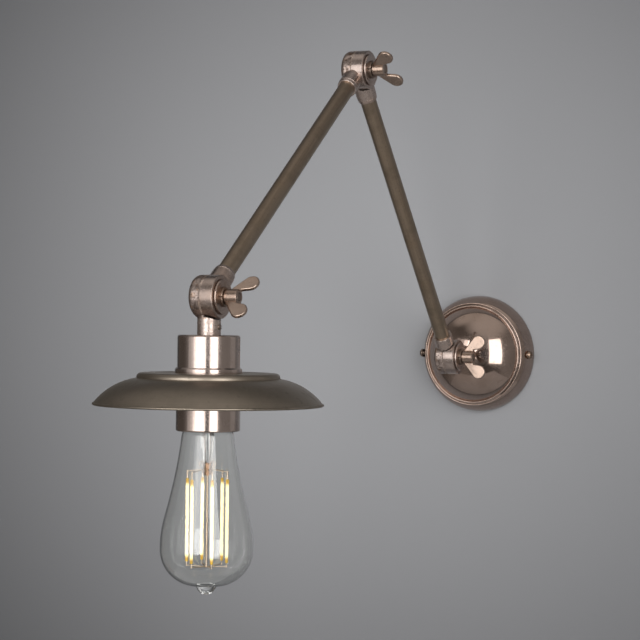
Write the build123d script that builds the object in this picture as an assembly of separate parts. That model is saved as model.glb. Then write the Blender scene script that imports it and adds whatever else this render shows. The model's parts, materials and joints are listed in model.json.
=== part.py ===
from build123d import *
import math
import os

# Adjustable wall light, in millimetres and degrees. The origin is the centre of the wall
# rose's back face. +Z is up, the wall lies in the XZ plane and the light reaches out along -Y.
# Each sub-part is made about its own axis and then set in place by one of the frames below.

# Arms and the pose they are set in
ARM_LENGTH = 300.0
TUBE_R = 6.35
TUBE_WALL = 1.2
LOWER_ARM_RISE = 50.9
UPPER_ARM_DROP = 35.6
LAMP_TILT = 1.5

# Clearances, and how far a cut runs past the face it opens
FIT = 0.02
RUN = 0.05
FACE_GAP = 0.1
OVERHANG_GAP = 1.1
LOOSE = 0.25
CUT = 1.0
EDGE_REACH = 0.001

# Knuckle joints
KNUCKLE_R = 15.0
KNUCKLE_HALF_W = 9.6
SEAM = 0.3
EDGE_ROUND = 4.0
EDGE_CHAMFER = 0.5
PIVOT_R = 3.0
BOSS_LENGTH = 9.6
BOSS_TAPER = 0.2
BOSS_EDGE = 0.2
SPIGOT_LENGTH = 14.0
WIRE_BORE_R = 1.9
WIRE_BORE_OFFSET = 2.8
CHANNEL_WALL = 2.0
CHANNEL_DEPTH = 4.5
FRICTION_RIM = 1.8
FRICTION_WIDTH = 3.0
FRICTION_LEDGE = 0.7
FRICTION_THICK = 1.0
PIVOT_HEAD_OVER = 2.6
PIVOT_HEAD_H = 2.6
SLOT_W = 1.2
SLOT_DEPTH = 1.1
FINE_SLOT_W = 0.6

# Ferrules between boss and tube
FERRULE_SLIT = 0.1
FERRULE_LENGTH = 2.9
FERRULE_FLOOR = 0.9
FERRULE_TIP_WALL = 1.2
FERRULE_TAPER = 0.35
FERRULE_ROUND = 0.5
FERRULE_STEP = 0.1

# Clamp washers and wing nuts
THRUST_INSET = 2.8
THRUST_T = 1.7
THRUST_ROUND = 0.7
SPRING_OVER = 4.0
SPRING_T = 1.9
SPRING_SPLIT = 1.0
HUB_WALL = 2.3
HUB_LENGTH = 9.5
HUB_CHAMFER = 0.5
WING_LOBE_R = 6.0
WING_OVERHANG = 4.6
WING_RISE = 7.5
WING_THICK = 2.8
WING_ROOT_START = 0.3
WING_SINK = 0.5
WING_ROUND = 0.9
WALL_NUT_TURN = 0.0
ELBOW_NUT_TURN = 52.0
HEAD_NUT_TURN = -43.0

# Wall rose
ROSE_R = 52.0
ROSE_BAND_W = 14.4
ROSE_BAND_H = 19.3
ROSE_SHEET = 1.2
BAND_END_ANGLE = 55.0
BEAD_R = 0.85
BEAD_SINK_IN = 0.43
BEAD_SINK_UP = 0.21
BEAD_STEP_IN = 2.3
BEAD_STEP_UP = 1.45
DOME_STEP = 3.8
DOME_RISE = 22.6
STEM_R = 5.0
STEM_PAST_NUT = 3.6
COLLAR_LENGTH = 9.1
COLLAR_FLARE = 0.8
STEM_NUT_H = 4.0
STEM_NUT_AF = 14.0
STEM_WASHER_R = 9.0
STEM_WASHER_T = 1.0

# Bracket behind the rose
PLATE_INSET = 10.4
PLATE_T = 1.5
EAR_INSET = 8.4
EAR_WIDTH = 14.0
EAR_HEIGHT = 14.0
ROSE_SCREW_H = 9.9
ROSE_SCREW_R = 2.0
ROSE_SCREW_SEAT_OUT = 0.6
ROSE_SCREW_HEAD_R = 3.6
ROSE_SCREW_HEAD_H = 2.9
ROSE_SCREW_ROUND = 2.2
ROSE_SCREW_CROSS = 5.0
ROSE_SCREW_PAST_EAR = 1.2
WALL_SLOT_SPACING = 60.0
WALL_SLOT_LENGTH = 10.0
WALL_SLOT_R = 2.25
CABLE_HOLE_R = 9.0
CABLE_HOLE_UP = 16.0
TERMINAL_DOWN = 20.0
TERMINAL_SIZE = (27.0, 16.0, 11.0)
TERMINAL_WAYS = 3
TERMINAL_PITCH = 8.5
TERMINAL_TUBE_R = 2.5
TERMINAL_TUBE_BORE = 1.6
TERMINAL_SCREW_R = 1.4
TERMINAL_SCREW_DOWN = 1.3
TERMINAL_SCREW_PITCH = 7.0
EARTH_AT = (-25.0, 15.0)
EARTH_R = 2.0
EARTH_HEAD_R = 3.8
EARTH_HEAD_H = 2.4

# Lamp with an E27 cap
CAP_TIP_GAP = 0.2
TIP_R = 4.6
TIP_H = 1.2
TIP_ROUND = 0.7
VITRITE_INSET = 3.5
VITRITE_H = 3.4
CAP_R = 13.1
CAP_LENGTH = 22.3
CAP_SHEET = 0.4
THREAD_PITCH = 3.63
THREAD_DEPTH = 0.8
THREAD_HALF_W = 1.45
GLASS_R = 32.0
GLASS_NECK_INSET = 1.7
GLASS_IN_CAP = 4.1
GLASS_WALL = 0.7
GLASS_SHOULDER_R = 17.9
GLASS_SHOULDER_DROP = 6.7
GLASS_WIDEST_DROP = 84.5
GLASS_WAIST_SHARE = (0.09, 0.125)
GLASS_FLANK_SHARE = (0.69, 0.645)
GLASS_NECK_SLOPE = (0.6, 1.0)
GLASS_SHOULDER_SLOPE = (0.12, 1.0)
GLASS_FLAT_R = 6.8
PIP_R = 6.9
PIP_H = 5.8
STEM_GLASS_R = 4.4
STEM_GLASS_TIP_R = 3.1
STEM_GLASS_DROP = 25.6
STEM_FLARE_LENGTH = 8.5
CROWN_R = 2.9
CROWN_H = 8.5
FILAMENT_COUNT = 6
FILAMENT_RING_R = 14.2
FILAMENT_TURN = -12.3
FILAMENT_R = 1.05
FILAMENT_ROUND = 0.6
FILAMENT_TOP_DROP = 36.6
FILAMENT_LENGTH = 57.0
WIRE_R = 0.35
PIN_R = 0.6
PIN_TOP_LENGTH = 5.5
PIN_BOTTOM_LENGTH = 3.0
MAST_R = 0.7

# Lampholder, which grows from the lamp's cap outwards
SOCKET_PLAY = 0.35
SHELL_SHEET = 0.45
SHELL_LENGTH = 24.0
SHELL_LIP = 0.35
SKIRT_WALL = 3.3
BODY_NECK_STEP = 1.7
RING_SOCKET_LENGTH = 7.5
BODY_HEAD_H = 5.0
BODY_BELOW_SHADE = 33.3
SOCKET_DEPTH = 28.0
NECK_LENGTH = 11.0
NECK_WALL = 3.1
CUP_OVER_NECK = 2.55
CUP_HEIGHT = 22.2
CUP_SHEET = 1.0
CUP_ROUND = 1.6
NIPPLE_R = 5.0
NIPPLE_BORE_R = 3.5
NIPPLE_HOLE_FLOOR = 3.5
NIPPLE_PAST_NUT = 3.3
NIPPLE_NUT_H = 3.0
NIPPLE_NUT_AF = 14.0
GRUB_R = 1.8
GRUB_ABOVE_CUP = 5.4
GRUB_PROUD = 0.7
FLANGE_OVER_CUP = 1.5
FLANGE_H = 3.8
FLANGE_CHAMFER = 1.0
BRIDGE_T = 1.2
BRIDGE_W = 14.0
BRIDGE_FOOT = 6.5
BRIDGE_INSET = 6.7
HOLDER_SCREW_R = 1.5
HOLDER_SCREW_HEAD_R = 2.8
HOLDER_SCREW_HEAD_H = 1.8
HOLDER_SCREW_DEPTH = 4.0
HOLDER_TERMINAL = (7.0, 6.0, 5.0)
HOLDER_TERMINAL_BORE = 1.2
HOLDER_TERMINAL_GAP = 2.5
CONTACT_STRIP = (16.0, 4.5, 0.5)
CONTACT_RISE = 1.6

# Shade and its lower ring
SHADE_R = 79.0
SHADE_SHEET = 1.0
DISH_WIDTH = 29.9
SHADE_STEP = 3.6
SHADE_DROP = 21.6
STEP_ROUND = 3.0
DISH_R = 45.7
SHADE_RIM_R = 0.9
SHADE_RIM_SINK = 0.3
RING_OVER_CUP = 0.5
RING_PAST_BODY = 5.2
RING_SHEET = 1.25
RING_ROUND = 1.0

# Knuckle and arm sizes that follow from the ones above
FERRULE_SMALL_R = TUBE_R + FERRULE_TIP_WALL
FERRULE_BIG_R = FERRULE_SMALL_R + FERRULE_TAPER
BOSS_TIP_R = FERRULE_BIG_R + FERRULE_STEP
BOSS_ROOT_R = BOSS_TIP_R + BOSS_TAPER
BOSS_ROOT = KNUCKLE_R - EDGE_ROUND
BOSS_END = KNUCKLE_R + BOSS_LENGTH
SPIGOT_R = TUBE_R - TUBE_WALL - FIT
FERRULE_START = BOSS_END + FERRULE_SLIT
FERRULE_SEAT = FERRULE_START + FERRULE_FLOOR
FERRULE_END = FERRULE_START + FERRULE_LENGTH
FRICTION_OUTER_R = KNUCKLE_R - FRICTION_RIM
FRICTION_INNER_R = FRICTION_OUTER_R - FRICTION_WIDTH
FRICTION_SEAT = FRICTION_THICK / 2
CHANNEL_OUTER_R = FRICTION_INNER_R - FRICTION_LEDGE
CHANNEL_INNER_R = PIVOT_R + CHANNEL_WALL
PIVOT_HEAD_R = PIVOT_R + PIVOT_HEAD_OVER
THRUST_R = KNUCKLE_R - THRUST_INSET
THRUST_X = KNUCKLE_HALF_W + FACE_GAP
SPRING_R = PIVOT_R + SPRING_OVER
SPRING_X = THRUST_X + THRUST_T
HUB_R = PIVOT_R + HUB_WALL
HUB_X = SPRING_X + SPRING_T + FACE_GAP
WING_LOBE_REACH = HUB_LENGTH + WING_OVERHANG
WING_LOBE_OUT = HUB_R + WING_RISE

# Rose sizes that follow
BAND_CENTRE_R = ROSE_R - ROSE_BAND_W
BAND_TOP_R = BAND_CENTRE_R + ROSE_BAND_W * math.cos(math.radians(BAND_END_ANGLE))
BAND_TOP_H = ROSE_BAND_H * math.sin(math.radians(BAND_END_ANGLE))
DOME_BASE_R = BAND_TOP_R - DOME_STEP
DOME_BASE_H = BAND_TOP_H + 2 * BEAD_R
DOME_SPHERE_R = (DOME_BASE_R**2 + DOME_RISE**2) / (2 * DOME_RISE)
DOME_CENTRE_H = DOME_BASE_H + DOME_RISE - DOME_SPHERE_R
COLLAR_FOOT_R = BOSS_TIP_R + COLLAR_FLARE
DOME_SEAT_H = DOME_CENTRE_H + math.sqrt(DOME_SPHERE_R**2 - COLLAR_FOOT_R**2)
STEM_WASHER_H = DOME_CENTRE_H + math.sqrt((DOME_SPHERE_R - ROSE_SHEET) ** 2 - STEM_WASHER_R**2) - FIT
STANDOFF = DOME_SEAT_H + COLLAR_LENGTH + BOSS_END
STEM_END = STANDOFF - STEM_WASHER_H + STEM_WASHER_T + STEM_NUT_H + STEM_PAST_NUT
PLATE_R = ROSE_R - PLATE_INSET
EAR_X = ROSE_R - EAR_INSET
ROSE_SCREW_SKIN_X = BAND_CENTRE_R + ROSE_BAND_W * math.sqrt(1 - (ROSE_SCREW_H / ROSE_BAND_H) ** 2)
ROSE_SCREW_SEAT_X = ROSE_SCREW_SKIN_X + ROSE_SCREW_SEAT_OUT
ROSE_SCREW_TIP_X = EAR_X - PLATE_T - ROSE_SCREW_PAST_EAR

# Lampholder radii that follow
SHELL_R = CAP_R + SOCKET_PLAY + SHELL_SHEET
BODY_SKIRT_R = SHELL_R + SKIRT_WALL
BODY_NECK_R = BODY_SKIRT_R + BODY_NECK_STEP
CUP_R = BODY_NECK_R + CUP_OVER_NECK
BODY_HEAD_R = CUP_R - CUP_SHEET - LOOSE
BRIDGE_HALF_SPAN = BODY_HEAD_R - BRIDGE_INSET
HOLDER_SCREW_X = BRIDGE_HALF_SPAN + BRIDGE_T
HOLDER_TERMINAL_OUT = (BRIDGE_W + HOLDER_TERMINAL[1]) / 2 + HOLDER_TERMINAL_GAP
FLANGE_R = CUP_R + FLANGE_OVER_CUP
RING_R = CUP_R + RING_OVER_CUP
NECK_R = NIPPLE_R + NECK_WALL
SHADE_TOP_R = SHADE_R - DISH_WIDTH
VITRITE_R = CAP_R - VITRITE_INSET
THREAD_ROOT_R = CAP_R - THREAD_DEPTH
GLASS_NECK_R = CAP_R - GLASS_NECK_INSET
GLASS_CORNER_R = GLASS_R - GLASS_FLAT_R

# Levels that follow, measured down from the head pivot
CUP_TOP = KNUCKLE_R + NECK_LENGTH
NIPPLE_TOP = KNUCKLE_R + NIPPLE_HOLE_FLOOR
GRUB_DOWN = CUP_TOP - GRUB_ABOVE_CUP
BRIDGE_TOP = CUP_TOP + CUP_SHEET
NIPPLE_NUT_TOP = BRIDGE_TOP + BRIDGE_T
NIPPLE_END = NIPPLE_NUT_TOP + NIPPLE_NUT_H + NIPPLE_PAST_NUT
CUP_BOTTOM = CUP_TOP + CUP_HEIGHT
BODY_TOP = CUP_BOTTOM - BODY_HEAD_H
FLANGE_BOTTOM = CUP_BOTTOM + FLANGE_H
STEP_BOTTOM = FLANGE_BOTTOM + SHADE_STEP
SHADE_UNDER = FLANGE_BOTTOM + SHADE_SHEET
SHADE_RIM = FLANGE_BOTTOM + SHADE_DROP
THREAD_END = SHADE_UNDER + RING_SOCKET_LENGTH
BODY_BOTTOM = SHADE_UNDER + BODY_BELOW_SHADE
RING_BOTTOM = BODY_BOTTOM + RING_PAST_BODY
SOCKET_TOP = BODY_BOTTOM - SOCKET_DEPTH
CONTACT_TOP = SOCKET_TOP + CONTACT_STRIP[2] + CONTACT_RISE
CAP_TIP = CONTACT_TOP + CAP_TIP_GAP
VITRITE_TOP = CAP_TIP + TIP_H
CAP_START = VITRITE_TOP + VITRITE_H
CAP_END = CAP_START + CAP_LENGTH
GLASS_TOP = CAP_END - GLASS_IN_CAP
GLASS_SHOULDER = CAP_END + GLASS_SHOULDER_DROP
GLASS_WIDEST = CAP_END + GLASS_WIDEST_DROP
GLASS_BOTTOM = GLASS_WIDEST + GLASS_CORNER_R
CROWN_TOP = CAP_END + STEM_GLASS_DROP
FILAMENT_TOP = CAP_END + FILAMENT_TOP_DROP
FILAMENT_BOTTOM = FILAMENT_TOP + FILAMENT_LENGTH
PINS_TOP = FILAMENT_TOP - PIN_TOP_LENGTH
PINS_BOTTOM = FILAMENT_BOTTOM + PIN_BOTTOM_LENGTH


def arm_direction(angle):
    """Unit vector in the arms' upright plane, its angle counted from +Y towards +Z."""
    return Vector(0, math.cos(math.radians(angle)), math.sin(math.radians(angle)))


# Directions in the arms' plane: along each arm from its lower pivot, and the ways back
LOWER_ANGLE = 180.0 - LOWER_ARM_RISE
UPPER_ANGLE = 180.0 + UPPER_ARM_DROP
WALL_PIVOT = Vector(0, -STANDOFF, 0)
ELBOW_PIVOT = WALL_PIVOT + arm_direction(LOWER_ANGLE) * ARM_LENGTH
HEAD_PIVOT = ELBOW_PIVOT + arm_direction(UPPER_ANGLE) * ARM_LENGTH


def frame_at(pivot, angle):
    """Frame with its origin at a pivot and its +Z along the given direction."""
    return Pos(pivot.X, pivot.Y, pivot.Z) * Rot(angle - 90, 0, 0)


WALL_TO_ROSE = frame_at(WALL_PIVOT, 0)
LOWER_FROM_WALL = frame_at(WALL_PIVOT, LOWER_ANGLE)
LOWER_FROM_ELBOW = frame_at(ELBOW_PIVOT, LOWER_ANGLE + 180)
UPPER_FROM_ELBOW = frame_at(ELBOW_PIVOT, UPPER_ANGLE)
UPPER_FROM_HEAD = frame_at(HEAD_PIVOT, UPPER_ANGLE + 180)
HEAD_FRAME = frame_at(HEAD_PIVOT, 90 - LAMP_TILT)
NECK_FRAME = HEAD_FRAME * Rot(180, 0, 0)
ON_WALL = Rot(90, 0, 0)


def rod(radius, start, end):
    """Cylinder about Z from one height to another."""
    return Pos(0, 0, (start + end) / 2) * Cylinder(radius, abs(end - start))


def tube(outer, inner, start, end):
    """Hollow cylinder about Z."""
    return rod(outer, start, end) - rod(inner, start - CUT, end + CUT)


def spin(face):
    """Solid made by turning a face of the XZ plane about Z."""
    return revolve(face, Axis.Z)


def face_of(*edges):
    """Face in the XZ plane from edges drawn as (radius, height)."""
    return Plane.XZ * make_face(Curve() + list(edges))


def outline(*points):
    """Face in the XZ plane from corner points given as (radius, height)."""
    return Plane.XZ * make_face(Polyline(*points, close=True))


def along_x(shape):
    """Turn a shape made about Z so that its +Z points along +X."""
    return Rot(0, 90, 0) * shape


def hexagon(across_flats, start, end):
    """Six-sided bar about Z."""
    flat = RegularPolygon(across_flats / 2, 6, major_radius=False)
    return Pos(0, 0, start) * extrude(flat, end - start)


def top_edges(solid, height):
    """Circular edges of a solid at one height."""
    circles = solid.edges().filter_by(GeomType.CIRCLE)
    return circles.filter_by_position(Axis.Z, height - EDGE_REACH, height + EDGE_REACH)


# Knuckle joints. A half is made with the pivot along X, the boss along +Z and side +1 for the
# half next to the wing nut, -1 for the half with the screw head.
def half_drum(side):
    """Drum of one knuckle half, before the boss is added."""
    drum = rod(KNUCKLE_R, SEAM / 2, KNUCKLE_HALF_W)
    outer = top_edges(drum, KNUCKLE_HALF_W)
    drum = fillet(outer, EDGE_ROUND) if side < 0 else chamfer(outer, EDGE_CHAMFER)
    return along_x(drum) if side > 0 else Rot(0, -90, 0) * drum


def knuckle_cuts(side):
    """Pivot hole, wire channel and friction seat of one half, and its half of the seam."""
    pivot = rod(PIVOT_R + RUN, 0, KNUCKLE_HALF_W + CUT)
    channel = tube(CHANNEL_OUTER_R, CHANNEL_INNER_R, 0, SEAM / 2 + CHANNEL_DEPTH)
    depth = FRICTION_SEAT if side < 0 else FRICTION_SEAT + FACE_GAP
    seat = tube(FRICTION_OUTER_R + LOOSE, FRICTION_INNER_R - LOOSE, 0, depth)
    cuts = pivot + channel + seat
    return along_x(cuts) if side > 0 else Rot(0, -90, 0) * cuts


def far_side_clearance(side):
    """Space kept free for the other half's drum, which turns under this half's boss."""
    swept = rod(KNUCKLE_R + OVERHANG_GAP, -SEAM / 2, KNUCKLE_HALF_W + CUT)
    return Rot(0, -90, 0) * swept if side > 0 else along_x(swept)


def knuckle_half(side, boss, wire_end):
    """One half: drum, boss, pivot hole, and a wire bore from the channel out to wire_end."""
    root = rod(BOSS_ROOT_R + CUT, 0, BOSS_ROOT)
    outer = boss - far_side_clearance(side) - root
    half_width = KNUCKLE_HALF_W - SEAM / 2
    own_side = Pos(side * (SEAM + half_width) / 2, 0, 0) * Box(half_width, 2 * KNUCKLE_R, 2 * KNUCKLE_R)
    inner = rod(BOSS_ROOT_R, 0, BOSS_ROOT) & own_side
    bore_start = (CHANNEL_INNER_R + CHANNEL_OUTER_R) / 2
    wire_bore = Pos(side * WIRE_BORE_OFFSET, 0, 0) * rod(WIRE_BORE_R, bore_start, wire_end)
    return half_drum(side) + outer + inner - knuckle_cuts(side) - wire_bore


def arm_boss(spigot_end):
    """Tapered boss with the spigot that the tube or the stem nut goes on."""
    side = [(0, BOSS_ROOT), (BOSS_ROOT_R, BOSS_ROOT), (BOSS_ROOT_R, KNUCKLE_R), (BOSS_TIP_R, BOSS_END)]
    taper = spin(outline(*side, (0, BOSS_END)))
    taper = fillet(top_edges(taper, BOSS_END), BOSS_EDGE)
    return taper + rod(SPIGOT_R, BOSS_END - CUT, spigot_end)


def arm_knuckle(side, seat):
    """Knuckle half for a tube whose end is seated at the given distance from the pivot."""
    end = seat + SPIGOT_LENGTH
    return knuckle_half(side, arm_boss(end), end + CUT)


def ferrule():
    """Short tapered ferrule between a boss and its tube, seated on the boss's spigot."""
    side = [(0, FERRULE_START), (FERRULE_BIG_R, FERRULE_START), (FERRULE_SMALL_R, FERRULE_END)]
    body = spin(outline(*side, (0, FERRULE_END)))
    body = fillet(top_edges(body, FERRULE_START), BOSS_EDGE)
    body = fillet(top_edges(body, FERRULE_END), FERRULE_ROUND)
    spigot_hole = rod(SPIGOT_R + FIT, FERRULE_START - CUT, FERRULE_END)
    return body - spigot_hole - rod(TUBE_R + FIT, FERRULE_SEAT, FERRULE_END + CUT)


def arm_tube(start, end):
    """Plain tube between two seats."""
    return tube(TUBE_R, TUBE_R - TUBE_WALL, start, end)


def friction_disc():
    """Fibre ring between the two halves of a knuckle."""
    return along_x(tube(FRICTION_OUTER_R, FRICTION_INNER_R, -FRICTION_SEAT, FRICTION_SEAT))


def pivot_screw():
    """Slotted screw along X: its head on the left half, its thread out through the wing nut."""
    shank_end = HUB_X + HUB_LENGTH - FACE_GAP
    head_start = -KNUCKLE_HALF_W
    head = rod(PIVOT_HEAD_R, head_start - PIVOT_HEAD_H, head_start)
    head = fillet(top_edges(head, head_start - PIVOT_HEAD_H), PIVOT_HEAD_H / 3)
    slot = Pos(0, 0, head_start - PIVOT_HEAD_H) * Box(3 * PIVOT_HEAD_R, SLOT_W, 2 * SLOT_DEPTH)
    shank = rod(PIVOT_R, head_start - PIVOT_HEAD_H / 2, shank_end)
    shank = chamfer(top_edges(shank, shank_end), PIVOT_R / 6)
    return along_x(head - slot + shank)


def thrust_washer():
    """Large washer with a rounded rim, next to the knuckle."""
    disc = rod(THRUST_R, THRUST_X, THRUST_X + THRUST_T)
    disc = fillet(disc.edges().filter_by(GeomType.CIRCLE), THRUST_ROUND)
    return along_x(disc - rod(PIVOT_R + LOOSE, THRUST_X - CUT, SPRING_X + CUT))


def spring_washer():
    """Split spring washer under the wing nut."""
    end = SPRING_X + SPRING_T
    ring = tube(SPRING_R, PIVOT_R + LOOSE, SPRING_X, end)
    ring = chamfer(top_edges(ring, end).sort_by(SortBy.RADIUS)[-1], SPRING_T / 4)
    split = Box(SPRING_SPLIT, SPRING_R, 2 * SPRING_T)
    return along_x(ring - Pos(0, -(SPRING_R + PIVOT_R) / 2, end) * split)


def wing():
    """One wing, drawn with the nut's axis along X and the wing rising along Z."""
    lobe = Pos(WING_LOBE_REACH, WING_LOBE_OUT) * Circle(WING_LOBE_R)
    inner_edge = WING_LOBE_OUT - WING_LOBE_R
    root_r = HUB_R - WING_SINK
    root_start = (WING_ROOT_START, root_r)
    root_end = (HUB_LENGTH - WING_ROOT_START, root_r)
    knee = (HUB_LENGTH, inner_edge)
    blade = make_hull(lobe.edges() + [Line(root_start, knee)])
    root = make_face(Polyline(root_start, knee, root_end, close=True))
    shape = Plane.XZ * (blade + root)
    plate = extrude(shape, WING_THICK / 2, both=True)
    long_edges = plate.edges().filter_by(Plane.XZ)
    return fillet(long_edges, WING_ROUND)


def wing_nut(turn):
    """Wing nut about X with its wings turned by the given angle from upright."""
    hub = rod(HUB_R, 0, HUB_LENGTH)
    hub = chamfer(hub.edges().filter_by(GeomType.CIRCLE), HUB_CHAMFER)
    nut = along_x(hub)
    blade = wing()
    nut = nut + blade + Rot(180, 0, 0) * blade
    nut = nut - along_x(rod(PIVOT_R + RUN, -CUT, HUB_LENGTH + CUT))
    return Pos(HUB_X, 0, 0) * Rot(turn, 0, 0) * nut


# Wall rose and what is behind it, drawn with the wall as the XY plane and +Z into the room
def rose_section(inset):
    """Half section of the rose, drawn inwards by the inset."""
    band_w = ROSE_BAND_W - inset
    band_h = ROSE_BAND_H - inset
    angle = math.radians(BAND_END_ANGLE)
    band_top = (BAND_CENTRE_R + band_w * math.cos(angle), band_h * math.sin(angle))
    share = (DOME_SPHERE_R - inset) / DOME_SPHERE_R
    dome_base = (DOME_BASE_R * share, DOME_CENTRE_H + (DOME_BASE_H - DOME_CENTRE_H) * share)
    dome_top = (0, DOME_CENTRE_H + DOME_SPHERE_R - inset)
    band = EllipticalCenterArc((BAND_CENTRE_R, 0), band_w, band_h, 0, arc_size=BAND_END_ANGLE)
    dome = RadiusArc(dome_base, dome_top, -(DOME_SPHERE_R - inset))
    foot = Polyline(dome_top, (0, 0), (BAND_CENTRE_R + band_w, 0))
    return face_of(band, Line(band_top, dome_base), dome, foot)


def rose_dome():
    """Spun dome with two beads, a stem hole and a hole on each side for its screws."""
    shell = spin(rose_section(0))
    for bead in range(2):
        radius = BAND_TOP_R - BEAD_SINK_IN - bead * BEAD_STEP_IN
        height = BAND_TOP_H + BEAD_SINK_UP + bead * BEAD_STEP_UP
        shell += spin(Plane.XZ * (Pos(radius, height) * Circle(BEAD_R)))
    shell -= rod(COLLAR_FOOT_R, DOME_SEAT_H, DOME_SEAT_H + ROSE_SHEET * 2)
    shell -= spin(rose_section(ROSE_SHEET))
    shell -= rod(STEM_R + RUN, 0, DOME_SEAT_H + ROSE_SHEET)
    for side in (1, -1):
        at_ear = Pos(0, 0, ROSE_SCREW_H) * Rot(0, 90 * side, 0)
        shell -= at_ear * rod(ROSE_SCREW_R + RUN, DOME_BASE_R / 2, ROSE_R + CUT)
        shell -= at_ear * rod(ROSE_SCREW_HEAD_R + LOOSE, ROSE_SCREW_SEAT_X, ROSE_R + CUT)
    return shell


def wall_bracket():
    """Round plate with two bent ears, wall screw slots, a cable hole and an earth hole."""
    plate = rod(PLATE_R, 0, PLATE_T)
    plate += Pos(0, 0, PLATE_T / 2) * Box(2 * EAR_X, EAR_WIDTH, PLATE_T)
    for side in (1, -1):
        plate += Pos(side * (EAR_X - PLATE_T / 2), 0, EAR_HEIGHT / 2) * Box(PLATE_T, EAR_WIDTH, EAR_HEIGHT)
        slot = extrude(SlotOverall(WALL_SLOT_LENGTH, 2 * WALL_SLOT_R), PLATE_T + 2 * CUT)
        plate -= Pos(side * WALL_SLOT_SPACING / 2, 0, -CUT) * slot
        screw_hole = rod(ROSE_SCREW_R + FIT, EAR_X / 2, EAR_X + CUT)
        plate -= Pos(0, 0, ROSE_SCREW_H) * Rot(0, 90 * side, 0) * screw_hole
    plate -= Pos(0, CABLE_HOLE_UP, 0) * rod(CABLE_HOLE_R, -CUT, PLATE_T + CUT)
    plate -= Pos(*EARTH_AT, 0) * rod(EARTH_R + FIT, -CUT, PLATE_T + CUT)
    return plate


def rose_screws():
    """Two round-head screws that hold the dome to the bracket's ears."""
    head_top = ROSE_SCREW_SEAT_X + ROSE_SCREW_HEAD_H
    head = rod(ROSE_SCREW_HEAD_R, ROSE_SCREW_SEAT_X, head_top)
    head = fillet(top_edges(head, head_top), ROSE_SCREW_ROUND)
    for turn in (0, 90):
        head -= Pos(0, 0, head_top) * Rot(0, 0, turn) * Box(ROSE_SCREW_CROSS, SLOT_W, 2 * SLOT_DEPTH)
    screw = head + rod(ROSE_SCREW_R, ROSE_SCREW_TIP_X, ROSE_SCREW_SEAT_X + FINE_SLOT_W)
    return [Pos(0, 0, ROSE_SCREW_H) * Rot(0, 90 * side, 0) * screw for side in (1, -1)]


def stem_washer():
    """Washer between the dome's inside and the stem nut."""
    return tube(STEM_WASHER_R, STEM_R + LOOSE, STEM_WASHER_H - STEM_WASHER_T, STEM_WASHER_H)


def stem_nut():
    """Nut that pulls the stem tight on the dome."""
    top = STEM_WASHER_H - STEM_WASHER_T
    return hexagon(STEM_NUT_AF, top - STEM_NUT_H, top) - rod(STEM_R + FIT, 0, top + CUT)


def terminal_places():
    """Across positions of the terminal block's ways."""
    first = -TERMINAL_PITCH * (TERMINAL_WAYS - 1) / 2
    return [first + TERMINAL_PITCH * way for way in range(TERMINAL_WAYS)]


def terminal_block():
    """Terminal block on the plate, below the stem, with a bore and two screw wells a way."""
    width, depth, height = TERMINAL_SIZE
    block = Pos(0, -TERMINAL_DOWN, PLATE_T + height / 2) * Box(width, depth, height)
    for across in terminal_places():
        middle = Pos(across, -TERMINAL_DOWN, PLATE_T + height / 2)
        block -= middle * Rot(90, 0, 0) * rod(TERMINAL_TUBE_R + FIT, -depth, depth)
        for end in (1, -1):
            well = Pos(across, -TERMINAL_DOWN + end * TERMINAL_SCREW_PITCH / 2, 0)
            block -= well * rod(TERMINAL_SCREW_R + LOOSE, PLATE_T + height / 2, PLATE_T + height + CUT)
    return block


def terminal_screws():
    """Brass tubes of the terminal block with their clamp screws, one solid a way."""
    depth, height = TERMINAL_SIZE[1], TERMINAL_SIZE[2]
    ways = []
    for across in terminal_places():
        middle = Pos(across, -TERMINAL_DOWN, PLATE_T + height / 2)
        way = middle * Rot(90, 0, 0) * tube(TERMINAL_TUBE_R, TERMINAL_TUBE_BORE, -depth / 2, depth / 2)
        for end in (1, -1):
            place = Pos(across, -TERMINAL_DOWN + end * TERMINAL_SCREW_PITCH / 2, 0)
            screw_tip = PLATE_T + height / 2 + TERMINAL_SCREW_DOWN
            way += place * rod(TERMINAL_SCREW_R, screw_tip, PLATE_T + height)
        ways.append(way)
    return ways


def earth_screw():
    """Cheese-head earth screw on the plate."""
    head = rod(EARTH_HEAD_R, PLATE_T, PLATE_T + EARTH_HEAD_H)
    slot = Pos(0, 0, PLATE_T + EARTH_HEAD_H) * Box(3 * EARTH_HEAD_R, SLOT_W, SLOT_DEPTH)
    return Pos(*EARTH_AT, 0) * (head + rod(EARTH_R, 0, PLATE_T + EARTH_HEAD_H / 3) - slot)


def wall_knuckle_base():
    """Right half of the wall knuckle, its boss towards the wall and its stem through the dome."""
    boss = arm_boss(BOSS_END) + rod(STEM_R, BOSS_END - CUT, STEM_END)
    return knuckle_half(1, boss, STEM_END + CUT)


def wall_stem_collar():
    """Flared collar between the boss and the dome."""
    seat = BOSS_END + COLLAR_LENGTH
    middle = BOSS_END + COLLAR_LENGTH / 2
    side = [(0, BOSS_END), (BOSS_TIP_R, BOSS_END), (BOSS_TIP_R, middle), (COLLAR_FOOT_R, seat)]
    collar = spin(outline(*side, (0, seat)))
    return collar - rod(STEM_R + FIT, BOSS_END - CUT, seat + CUT)


# Lamp head, drawn with the pivot at the origin and +Z straight down the lamp's axis
def head_knuckle():
    """Left half of the head knuckle with the neck that the lampholder hangs from."""
    half = knuckle_half(-1, rod(NECK_R, BOSS_ROOT, CUP_TOP), CUP_TOP + CUT)
    half -= rod(NIPPLE_R + FIT, NIPPLE_TOP, CUP_TOP + CUT)
    return half - Pos(0, 0, GRUB_DOWN) * along_x(rod(GRUB_R + FIT, NIPPLE_R, NECK_R + CUT))


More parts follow.
